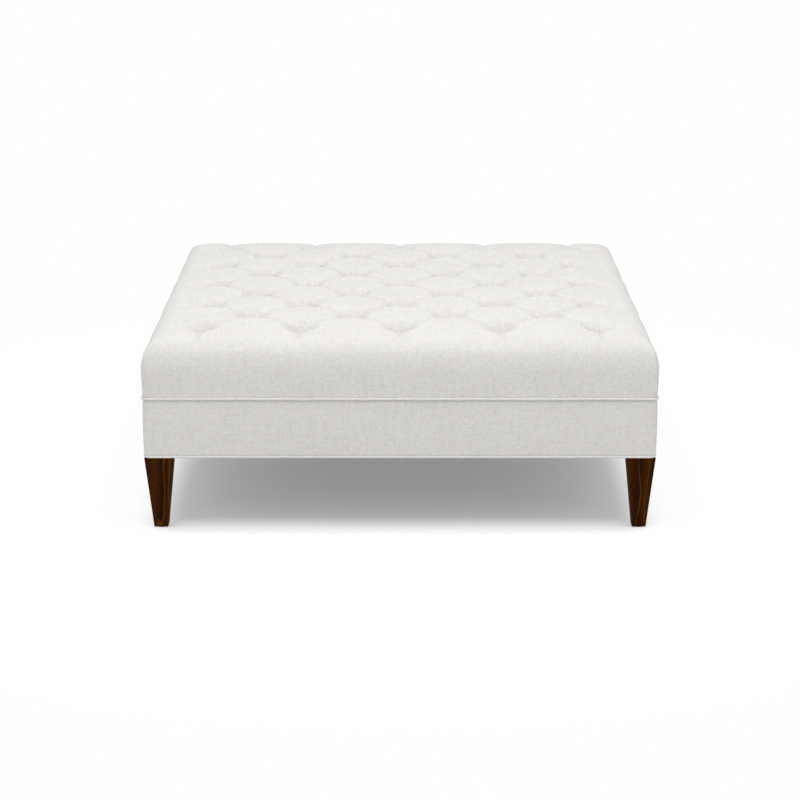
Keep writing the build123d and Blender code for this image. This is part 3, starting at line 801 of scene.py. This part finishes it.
# %% Dust cover
leg_low, leg_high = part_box("leg_front_right")
leg_axis = (leg_low[0] + leg_high[0]) / 2
staple_pitch = 0.048
ripple_height, ripple_reach = 0.0003, 0.05
leg_clear, leg_fade = 0.045, 0.04
sag = 0.0004
fold_in, fold_edge = 0.016, 0.0015
cambric_thick, folded_thick = 0.0003, 0.0002
skin_gap = 0.0001
dust_steps = np.linspace(-1, 1, 161) * dust_half
dust_x, dust_y = np.meshgrid(dust_steps, dust_steps, indexing="ij")
far_x, far_y = np.abs(dust_x), np.abs(dust_y)
edge_distance = dust_half - np.maximum(far_x, far_y)
ripple = ripple_height * np.cos(2 * np.pi * np.where(far_x > far_y, dust_y, dust_x) / staple_pitch)
hang = ripple * np.exp(-edge_distance / ripple_reach)
near_leg = np.hypot(far_x - leg_axis, far_y - leg_axis)
dust_z = dust_top - skin_gap - (sag - hang) * smooth_step((near_leg - leg_clear) / leg_fade)
folded = folded_thick * smooth_step((fold_in - edge_distance) / fold_edge)
under_z = np.maximum(dust_z - cambric_thick - folded, dust_bottom)
dust_points = np.concatenate([as_points(dust_x, dust_y, z) for z in (dust_z, under_z)])
sheet_faces = np.stack(grid_corners(len(dust_steps)), -1).reshape(-1, 4)
rim = grid_border(len(dust_steps))
sides = loop_quads(rim, rim + dust_z.size)
dust_faces = np.concatenate([sheet_faces, sheet_faces[:, ::-1] + dust_z.size, sides])
dust_sheet = make_piece("dust_sheet", dust_points, [dust_faces], dust_points[dust_faces.ravel(), :2])
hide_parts("dust_cover")
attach(dust_sheet, "root")

# %% One staple
wire = 0.0006
bridge_half = 0.0052
staple_drop = 0.0009
staple_rise = 0.0014
wire_corners = np.array([(-1, -1), (1, -1), (1, 1), (-1, 1)]) * wire / 2
spine_x = bridge_half * np.array([-1, -1, 1, 1])
spine_z = np.array([staple_rise, -staple_drop, -staple_drop, staple_rise])
mitre_x, mitre_z = np.array([1, 1, -1, -1]), np.array([0, 1, 1, 0])
wire_in, wire_side = wire_corners.T
wire_x = spine_x[:, None] + wire_in * mitre_x[:, None]
wire_z = spine_z[:, None] + wire_in * mitre_z[:, None]
staple_points = as_points(wire_x, np.broadcast_to(wire_side, wire_x.shape), wire_z)
staple_quads = np.concatenate([ring_faces(4, 4)[:, [0, 3, 2, 1]], [[3, 2, 1, 0], [12, 13, 14, 15]]])
print("one staple", len(staple_points), "points", len(staple_quads), "faces")

# %% Staples along the dust cover's edge
staple_inset = 0.008
staple_lean = 0.18
staples_a_side = 19
staple_line = dust_half - staple_inset
staple_places = (np.arange(staples_a_side) - staples_a_side // 2) * staple_pitch
staples = []
for quarter in range(4):
    cos, sin = round(math.cos(quarter * math.pi / 2)), round(math.sin(quarter * math.pi / 2))
    for index, place in enumerate(staple_places):
        lean = staple_lean * math.sin(7 * index + 3 * quarter)
        c, t = math.cos(lean), math.sin(lean)
        x = staple_points[:, 0] * t - staple_points[:, 1] * c + staple_line
        y = staple_points[:, 0] * c + staple_points[:, 1] * t + place
        z = staple_points[:, 2] + dust_bottom - skin_gap + staple_drop
        staples.append(as_points(x * cos - y * sin, x * sin + y * cos, z))
all_quads = np.concatenate([staple_quads + len(staple_points) * k for k in range(len(staples))])
dust_staples = make_piece("dust_cover_staples", np.concatenate(staples), [all_quads], smooth=False)
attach(dust_staples, "root")

# %% [markdown]
# ## Legs
# Each leg is a straight four-sided taper with eased edges. The same rounded square is carried upwards, with
# a half width that grows evenly from foot to top, and the last few rings turn in round the foot and the top
# so that their edges catch the light. The bores for the bolt and the glide's nail are left out: they can't
# be seen.

# %% Outline of a leg
leg_walk = graded_walk(0.8, 5, 8)
leg_inset = 0.0014
leg_top_half = (leg_high[0] - leg_low[0]) / 2 - leg_inset
leg_foot_half = 0.0145
edge_round = 0.0007
foot_ease = 0.0008
top_ease = 0.0006


def leg_profile():
    """Half widths and heights from foot to top: a rounded foot, an even taper, and a slightly eased top."""
    height = leg_high[2] - leg_low[2]
    turn = np.linspace(0, np.pi / 2, 6)
    foot_z = foot_ease * (1 - np.cos(turn))
    foot_x = leg_foot_half - foot_ease + foot_ease * np.sin(turn)
    body = np.linspace(0, 1, 26)[1:-1]
    body_z = foot_ease + (height - 2 * foot_ease) * body
    body_x = leg_foot_half + (leg_top_half - leg_foot_half) * body
    top_z = height - top_ease + top_ease * np.sin(turn)
    top_x = leg_top_half - top_ease + top_ease * np.cos(turn)
    return np.concatenate([foot_x, body_x, top_x]), leg_low[2] + np.concatenate([foot_z, body_z, top_z])


profile_x, profile_z = (values[::-1] for values in leg_profile())
print("leg", short(profile_z[0] - profile_z[-1]), "m high in", len(profile_x), "rings")

# %% Four legs
leg_places = {"front_right": (1, -1), "back_right": (1, 1), "front_left": (-1, -1), "back_left": (-1, 1)}
leg_rings = [flat_ring(leg_walk, x, edge_round, z) for x, z in zip(profile_x, profile_z)]
leg_hubs = [[(0, 0, profile_z[0]), (0, 0, profile_z[-1])]]
leg_points = np.concatenate(leg_rings + leg_hubs)
top_ring = np.arange(len(leg_walk[0]))
foot_ring = top_ring + (len(leg_rings) - 1) * len(top_ring)
leg_quads = ring_faces(len(leg_rings), len(top_ring))
top_hub, foot_hub = len(leg_points) - 2, len(leg_points) - 1
leg_caps = np.concatenate([fan(top_hub, top_ring), fan(foot_hub, foot_ring)[:, [0, 2, 1]]])
leg_posts = []
for corner, (right, back) in leg_places.items():
    place = np.array([right * leg_axis, back * leg_axis, 0])
    post = make_piece(f"leg_post_{corner}", leg_points + place, [leg_quads, leg_caps])
    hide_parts(f"leg_{corner}")
    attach(post, "root")
    leg_posts.append(post)

# %% [markdown]
# ## Shader nodes in short calls
# Every finish is made of shader nodes, so that it can be seen from close by and needs no picture file. The
# helpers below add a node and join its sockets in one call, which keeps a material as short as its recipe.

# %% Helpers for shader nodes
def new_group(name, inputs, outputs):
    """An empty shader node group; inputs map names to start values, or to None for a vector."""
    group = bpy.data.node_groups.new(name, "ShaderNodeTree")
    for label, value in inputs.items():
        kind = "NodeSocketVector" if value is None else "NodeSocketFloat"
        socket = group.interface.new_socket(label, in_out="INPUT", socket_type=kind)
        if value is not None:
            socket.default_value = value
    for label in outputs:
        group.interface.new_socket(label, in_out="OUTPUT", socket_type="NodeSocketFloat")
    return group, group.nodes.new("NodeGroupInput").outputs, group.nodes.new("NodeGroupOutput").inputs


class Wiring:
    """Short calls for adding and joining nodes in one tree."""

    def __init__(self, tree):
        self.nodes = tree.nodes
        self.links = tree.links

    def put(self, kind, settings=None, **values):
        """A node of a kind; values go to its sockets by name or as _0, _1, as numbers or as links."""
        node = self.nodes.new(kind)
        for key, value in (settings or {}).items():
            setattr(node, key, value)
        for key, value in values.items():
            socket = node.inputs[int(key[1:]) if key[0] == "_" else key]
            if isinstance(value, bpy.types.NodeSocket):
                self.links.new(value, socket)
            else:
                socket.default_value = value
        return node

    def math(self, operation, first, second=0.0, third=0.0):
        return self.put("ShaderNodeMath", {"operation": operation}, _0=first, _1=second, _2=third).outputs[0]

    def plus(self, first, second):
        return self.math("ADD", first, second)

    def minus(self, first, second):
        return self.math("SUBTRACT", first, second)

    def times(self, first, second):
        return self.math("MULTIPLY", first, second)

    def scale(self, vector, factors):
        return self.put("ShaderNodeVectorMath", {"operation": "MULTIPLY"}, _0=vector, _1=factors).outputs[0]

    def noise(self, vector, scale=1.0, detail=2.0, roughness=0.5):
        values = {"Vector": vector, "Scale": scale, "Detail": detail, "Roughness": roughness}
        return self.put("ShaderNodeTexNoise", **values).outputs[0]

    def ramp(self, value, low, high, to_low=0.0, to_high=1.0):
        settings = {"interpolation_type": "SMOOTHSTEP"}
        values = {"_0": value, "_1": low, "_2": high, "_3": to_low, "_4": to_high}
        return self.put("ShaderNodeMapRange", settings, **values).outputs[0]

    def mixed(self, factor, first, second):
        settings = {"data_type": "RGBA", "clamp_factor": True}
        return self.put("ShaderNodeMix", settings, _0=factor, _6=first, _7=second).outputs[2]

    def blend(self, factor, first, second):
        return self.put("ShaderNodeMixShader", _0=factor, _1=first, _2=second).outputs[0]


# %% Helpers for materials
def new_material(name):
    """A material with its Principled shader, and a Wiring for its tree."""
    material = bpy.data.materials.new(name)
    material.use_nodes = True
    tree = material.node_tree
    return material, tree.nodes["Principled BSDF"], Wiring(tree)


def finish(wires, shader, colour, rough, height, strength, distance):
    """Links a colour, a roughness and a bump from a height into the Principled shader."""
    bump = wires.put("ShaderNodeBump", Strength=strength, Distance=distance, Height=height)
    for name, value in (("Base Color", colour), ("Roughness", rough), ("Normal", bump.outputs[0])):
        wires.links.new(value, shader.inputs[name])


def set_inputs(node, **values):
    """Sets constants on a node's own sockets; an underscore in a name stands for a space."""
    for name, value in values.items():
        node.inputs[name.replace("_", " ")].default_value = value


def dress(material, *pieces):
    """Gives pieces, or CAD nodes by their names, one material in place of all they had."""
    for piece in pieces:
        materials = (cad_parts[piece] if isinstance(piece, str) else piece).data.materials
        materials.clear()
        materials.append(material)
    print(material.name, "on", len(pieces), "pieces")


# %% [markdown]
# ## Linen
# The cloth is a plain weave of uneven yarn: each thread passes over one and under the next, and here and
# there a thread swells into a slub. From a step away the threads melt together, and what is left are short
# streaks along and across the cloth and a few darker fibres. The node group below makes both from the
# "cloth" UV map, in metres, so that it can be placed in every cloth material at its own scale. It puts out
# masks and a height, and no shader.

# %% The weave group
weave_inputs = {"Cloth": None, "Thread": 0.001}
weave, weave_in, weave_out = new_group("plain_weave", weave_inputs, ("Tone", "Fleck", "Height"))
w = Wiring(weave)
cloth, thread = weave_in["Cloth"], weave_in["Thread"]
wander = w.put("ShaderNodeTexNoise", {"noise_dimensions": "2D"}, Vector=cloth, Scale=180.0, Detail=1.0)
wander_colour = wander.outputs["Color"]
shift = w.put("ShaderNodeVectorMath", {"operation": "SCALE"}, _0=wander_colour, Scale=0.0006).outputs[0]
moved = w.put("ShaderNodeVectorMath", {"operation": "ADD"}, _0=cloth, _1=shift).outputs[0]
split = w.put("ShaderNodeSeparateXYZ", Vector=moved).outputs
wave_across = w.math("SINE", w.times(w.math("DIVIDE", split[0], thread), math.pi))
wave_down = w.math("SINE", w.times(w.math("DIVIDE", split[1], thread), math.pi))


def thread_height(wave, up):
    """A thread's round top, the size of its wave, lower where the thread runs under the other."""
    return w.times(w.math("ABSOLUTE", wave), w.math("MULTIPLY_ADD", up, 0.55, 0.45))


def both_ways(wires, place, fine, coarse, detail):
    """Noise drawn out along the warp, plus noise drawn out along the weft."""
    warp = wires.noise(wires.scale(place, (fine, coarse, 1.0)), detail=detail)
    weft = wires.noise(wires.scale(place, (coarse, fine, 1.0)), detail=detail)
    return wires.plus(warp, weft)


warp_up = w.ramp(w.times(wave_across, wave_down), -0.6, 0.6)
warp, weft = thread_height(wave_across, warp_up), thread_height(wave_down, w.minus(1.0, warp_up))
threads = w.math("MAXIMUM", warp, weft)
streaks = w.plus(both_ways(w, cloth, 900.0, 24.0, 1.5), both_ways(w, cloth, 260.0, 14.0, 2.0))
slubs = w.minus(w.times(streaks, 0.25), 0.5)
fibre = w.noise(w.scale(cloth, (420.0, 160.0, 1.0)), detail=3.0, roughness=0.6)
w.links.new(w.math("MULTIPLY_ADD", w.minus(threads, 0.72), 0.22, w.times(slubs, 2.2)), weave_out["Tone"])
w.links.new(w.ramp(fibre, 0.66, 0.80), weave_out["Fleck"])
w.links.new(w.plus(threads, w.times(slubs, 2.0)), weave_out["Height"])
print("weave group with", len(weave.nodes), "nodes")

# %% [markdown]
# The material mixes two near colours by the weave's tone. The lighter yarn turns a little cooler in places,
# and soft patches and clouds break up large faces. The cover's "tuck" attribute paints shade into the
# bottoms of its folds: the colour is darkened there in place of shade. Piping uses the same recipe with the
# weave turned by 45 degrees, because its cloth is cut on the bias.

# %% Linen materials
ivory_light, ivory_dark = (0.870, 0.852, 0.832, 1), (0.705, 0.682, 0.654, 1)
cool_light = (0.870 * 0.975, 0.852 * 1.005, 0.832 * 1.0, 1)
fleck_colour = (0.50, 0.47, 0.42, 1)
# Black, towards which the painted shade in the folds darkens the colour.
painted_shade_black = (0.0, 0.0, 0.0, 1)
yarn_width = 0.0011


def linen_material(name, turn=0.0):
    """Cloth of two near colours, mixed by the weave's tone, with sparse darker fibres and painted shade in
    the folds.
    """
    material, shader, wires = new_material(name)
    uv = wires.put("ShaderNodeUVMap", {"uv_map": "cloth"}).outputs[0]
    placed = wires.put("ShaderNodeMapping", Vector=uv, Rotation=(0.0, 0.0, turn)).outputs[0]
    woven = wires.put("ShaderNodeGroup", {"node_tree": weave}, Cloth=placed, Thread=yarn_width).outputs
    patches = wires.math("MULTIPLY_ADD", wires.noise(placed, scale=9.0, detail=3.0), 0.30, -0.80)
    mottle = wires.times(both_ways(wires, placed, 330.0, 90.0, 2.0), 0.5)
    tone = wires.plus(woven["Tone"], wires.math("MULTIPLY_ADD", mottle, 2.3, patches))
    coolness = wires.ramp(wires.noise(placed, scale=70.0, detail=2.0), 0.35, 0.65)
    plain = wires.mixed(tone, ivory_dark, wires.mixed(coolness, ivory_light, cool_light))
    flecked = wires.mixed(wires.times(woven["Fleck"], 0.35), plain, fleck_colour)
    # Painted shade: the colour darkens towards black where the cover's point attribute is deep, at the
    # bottoms of the folds.
    fold_shade = wires.put("ShaderNodeAttribute", {"attribute_name": "fold_shade"}).outputs["Fac"]
    colour = wires.mixed(wires.ramp(fold_shade, 0.001, 0.024, 0.0, 0.09), flecked, painted_shade_black)
    rough = wires.ramp(woven["Tone"], -0.4, 0.4, 0.97, 0.86)
    finish(wires, shader, colour, rough, woven["Height"], 0.55, 0.00045)
    set_inputs(shader, Specular_IOR_Level=0.2, Sheen_Weight=0.12, Sheen_Roughness=0.6)
    return material


ivory_linen = linen_material("ivory_linen")
bias_linen = linen_material("ivory_linen_bias", turn=math.pi / 4)
dress(ivory_linen, tufted_cover, base_cloth, "top_cover", "base_band", "seam_piping", "hem_piping")
dress(bias_linen, seam_welt, hem_welt)

# %% [markdown]
# ## Wood
# All the wooden pieces share one grain group. Wood is a stack of thin cones round the tree's middle, so
# grain is noise that is drawn out along the piece, with slow waves for the growth rings and short dark
# pores on top. The group puts out masks, and each material mixes its own colours from them: a dark walnut
# stain on the legs, pale pine on the rails. Stain takes unevenly, so the walnut also has a few long paler
# streaks, where a slow noise crosses its middle value.

# %% The grain group
grain_inputs = {"Place": None, "Rings": 30.0, "Wave": 1.0}
grain, grain_in, grain_out = new_group("wood_grain", grain_inputs, ("Band", "Fibre", "Pore", "Height"))
w = Wiring(grain)
place = grain_in["Place"]
slow = w.noise(w.scale(place, (9.0, 9.0, 2.2)), detail=2.0)
bent = w.times(w.minus(slow, 0.5), grain_in["Wave"])
axes = w.put("ShaderNodeSeparateXYZ", Vector=place).outputs
ring_place = w.plus(w.times(axes[0], 0.8), w.times(axes[1], 0.6))
phase = w.plus(w.times(ring_place, grain_in["Rings"]), w.times(bent, 3.0))
fibre = w.noise(w.scale(place, (700.0, 700.0, 16.0)), detail=3.0, roughness=0.6)
pore = w.ramp(w.noise(w.scale(place, (1400.0, 1400.0, 60.0)), detail=1.0), 0.60, 0.72)
w.links.new(w.math("MULTIPLY_ADD", w.math("SINE", w.times(phase, 2 * math.pi)), 0.5, 0.5), grain_out["Band"])
w.links.new(fibre, grain_out["Fibre"])
w.links.new(pore, grain_out["Pore"])
w.links.new(w.minus(w.times(fibre, 0.5), pore), grain_out["Height"])
print("grain group with", len(grain.nodes), "nodes")


# %% Wood materials
def wood_material(name, light, dark, rings, turn=(0, 0, 0), wave=1.0, roughness=0.7, gloss=0.3, streak=None):
    """Wood with its grain along Z before the turn: two colours, fine fibres and, if asked, pale streaks."""
    material, shader, wires = new_material(name)
    own = wires.put("ShaderNodeTexCoord").outputs["Object"]
    placed = wires.put("ShaderNodeMapping", Vector=own, Rotation=turn).outputs[0]
    values = {"Place": placed, "Rings": rings, "Wave": wave}
    masks = wires.put("ShaderNodeGroup", {"node_tree": grain}, **values).outputs
    fibres = wires.math("MULTIPLY_ADD", masks["Fibre"], 1.3, -0.55)
    colour = wires.mixed(wires.plus(wires.times(masks["Band"], 0.55), fibres), dark, light)
    deep = tuple(0.45 * part for part in dark[:3]) + (1,)
    colour = wires.mixed(wires.times(masks["Pore"], 0.5), colour, deep)
    if streak is not None:
        figure = wires.noise(wires.scale(placed, (26.0, 26.0, 2.6)), detail=1.0)
        off_line = wires.math("ABSOLUTE", wires.minus(figure, 0.5))
        colour = wires.mixed(wires.ramp(off_line, 0.001, 0.018, 0.50, 0.0), colour, streak)
    rough = wires.ramp(masks["Fibre"], 0.3, 0.7, roughness - 0.06, roughness + 0.08)
    finish(wires, shader, colour, rough, masks["Height"], 0.35, 0.0003)
    set_inputs(shader, Specular_IOR_Level=gloss)
    return material


walnut = wood_material(
    "dark_walnut", (0.068, 0.0200, 0.0020, 1), (0.0165, 0.0040, 0.0006, 1), 34.0,
    roughness=0.55, gloss=0.03, streak=(0.170, 0.070, 0.0060, 1),
)
dress(walnut, *leg_posts, *(f"leg_{corner}" for corner in leg_places))

along_x, along_y = (0, math.pi / 2, 0), (math.pi / 2, 0, 0)
pine_colours = ((0.66, 0.47, 0.27, 1), (0.50, 0.31, 0.15, 1))
pine_x = wood_material("pine_along_x", *pine_colours, 60.0, turn=along_x)
pine_y = wood_material("pine_along_y", *pine_colours, 60.0, turn=along_y)
block_colours = ((0.52, 0.36, 0.20, 1), (0.36, 0.22, 0.11, 1))
block_wood = wood_material("hardwood_block", *block_colours, 80.0, roughness=0.75)
plywood = wood_material("plywood", (0.62, 0.48, 0.31, 1), (0.46, 0.33, 0.19, 1), 25.0, turn=along_x, wave=2.5)
dress(pine_x, "front_rail", "back_rail")
dress(pine_y, *(f"{kind}_{side}" for kind in ("cross_rail", "deck_cleat") for side in ("left", "right")))
dress(pine_y, "left_rail", "right_rail", "tuft_toggles")
dress(block_wood, *(f"corner_block_{corner}" for corner in leg_places))
dress(plywood, "deck_panel")

# %% [markdown]
# ## Foam, cord, dust cloth, plastic and zinc
# The last finishes are small. Foam is full of tiny cells, a waxed cord is twisted, the dust cloth is
# pressed from short fibres, the glides are moulded plastic with a fine grain, and zinc plate has a faint
# mottle in its gloss. One recipe serves them all: two near colours, an uneven gloss and a fine bump, from
# one pattern at the right scale.

# %% Small finishes
def mottled_material(name, light, dark, scale, roughness, metallic=0.0, bump_height=0.0001, cells=False):
    """Two near colours and an uneven gloss from noise, or from round cells for foam."""
    material, shader, wires = new_material(name)
    own = wires.put("ShaderNodeTexCoord").outputs["Object"]
    if cells:
        pattern = wires.put("ShaderNodeTexVoronoi", Vector=own, Scale=scale).outputs["Distance"]
    else:
        pattern = wires.noise(own, scale=scale, detail=4.0, roughness=0.6)
    colour = wires.mixed(wires.ramp(pattern, 0.3, 0.7), (*dark, 1), (*light, 1))
    rough = wires.ramp(pattern, 0.2, 0.8, roughness - 0.08, roughness + 0.08)
    finish(wires, shader, colour, rough, pattern, 0.4, bump_height)
    set_inputs(shader, Metallic=metallic)
    return material


foam_colours = ((0.86, 0.78, 0.52), (0.70, 0.62, 0.38))
foam = mottled_material("foam", *foam_colours, 700.0, 0.9, bump_height=0.0005, cells=True)
cord = mottled_material("waxed_cord", (0.76, 0.72, 0.62), (0.60, 0.56, 0.47), 1500.0, 0.6, bump_height=0.0003)
cambric_colours = ((0.024, 0.024, 0.026), (0.010, 0.010, 0.011))
cambric = mottled_material("black_cambric", *cambric_colours, 1100.0, 0.9, bump_height=0.0002)
glide_plastic = mottled_material("glide_plastic", (0.035, 0.033, 0.032), (0.018, 0.017, 0.017), 900.0, 0.45)
zinc = mottled_material("zinc", (0.72, 0.73, 0.74), (0.56, 0.57, 0.59), 300.0, 0.34, metallic=1.0)
dress(foam, "foam_core", foam_slab)
dress(cord, "tuft_ties")
dress(cambric, "dust_cover", dust_sheet)
dress(glide_plastic, "foot_glides")
dress(zinc, "leg_inserts", "hanger_bolts", "rail_screws", "cleat_screws", "deck_screws", dust_staples)

# %% [markdown]
# ## Floor, light and camera
# The photograph has a white ground with one soft shadow. The floor is a diffuse white with a little glow of
# its own, so that it still shows the shadow, and it turns into plain white beside the table and far from
# it. Only rays that reach the camera meet that mix. For all others the floor is a plain pale surface that
# lights the table from below. One large soft lamp hangs over the table, a little to the front, and an even
# white world fills in the rest.

# %% Floor
def seen_by_camera(wires):
    """1 for rays that reach the camera directly, mirrored or through glass, 0 for all that only light."""
    path = wires.put("ShaderNodeLightPath").outputs
    mirrored = wires.math("MAXIMUM", path["Is Glossy Ray"], path["Is Transmission Ray"])
    return wires.math("MAXIMUM", path["Is Camera Ray"], mirrored)


white = (1, 1, 1, 1)
floor_half = 12.0
floor_drop = 0.0002
floor_corners = np.array([(-1, -1), (1, -1), (1, 1), (-1, 1)]) * floor_half
floor_points = np.column_stack([floor_corners, np.full(4, -floor_drop)])
floor = make_piece("studio_floor", floor_points, [np.array([[0, 1, 2, 3]])])
floor_material, floor_shader, wires = new_material("studio_floor")
set_inputs(floor_shader, Base_Color=(0.80, 0.80, 0.80, 1), Roughness=0.9, Specular_IOR_Level=0.0)
shaded_paper = wires.put("ShaderNodeBsdfDiffuse", Color=(0.90, 0.90, 0.90, 1), Roughness=0.0).outputs[0]
glow = wires.put("ShaderNodeEmission", Color=white, Strength=0.235).outputs[0]
near_paper = wires.put("ShaderNodeAddShader", _0=shaded_paper, _1=glow).outputs[0]
white_paper = wires.put("ShaderNodeEmission", Color=white, Strength=1.0).outputs[0]
own = wires.put("ShaderNodeTexCoord").outputs["Object"]
from_table = wires.put("ShaderNodeVectorMath", {"operation": "LENGTH"}, _0=own).outputs["Value"]
sideways = wires.math("ABSOLUTE", wires.put("ShaderNodeSeparateXYZ", Vector=own).outputs[0])
far = wires.math("MAXIMUM", wires.ramp(from_table, 0.85, 1.6), wires.ramp(sideways, 0.455, 0.58, 0.0, 0.9))
paper = wires.blend(far, near_paper, white_paper)
choice = wires.blend(seen_by_camera(wires), floor_shader.outputs[0], paper)
wires.links.new(choice, floor_material.node_tree.nodes["Material Output"].inputs["Surface"])
dress(floor_material, floor)

# %% Light
lamp_place = (0.0, -1.25, 4.1)
lamp_aim_height = 0.3
lamp_data = bpy.data.lights.new("top_lamp", "AREA")
lamp_data.size = 2.6
lamp_data.energy = 88.0
lamp = add_object("top_lamp", lamp_data)
lamp.location = lamp_place
lamp.rotation_euler = (math.atan2(-lamp_place[1], lamp_place[2] - lamp_aim_height), 0, 0)
world = bpy.data.worlds.new("studio_world")
bpy.context.scene.world = world
world.use_nodes = True
wires = Wiring(world.node_tree)
fill_light = world.node_tree.nodes["Background"]
set_inputs(fill_light, Color=white, Strength=0.65)
backdrop = wires.put("ShaderNodeBackground", Color=white, Strength=1.0).outputs[0]
sky = wires.blend(seen_by_camera(wires), fill_light.outputs[0], backdrop)
wires.links.new(sky, world.node_tree.nodes["World Output"].inputs["Surface"])
print("lamp of", lamp_data.energy, "W and", round(lamp_data.size, 2), "m")

# %% Camera
camera_data = bpy.data.cameras.new("photo_camera")
camera_data.lens = 100.0
camera_data.sensor_width = 36.0
camera = add_object("photo_camera", camera_data)
camera.location = (0.0, -4.936, 1.4833)
camera.rotation_euler = (math.radians(90 - 15.261), 0.0, 0.0)
bpy.context.scene.camera = camera
bpy.context.scene.view_settings.view_transform = "Standard"
print("camera at", tuple(round(v, 3) for v in camera.location))

# %% [markdown]
# ## Finish
# At the end the view layer is brought up to date.

# %% Finish
bpy.context.view_layer.update()
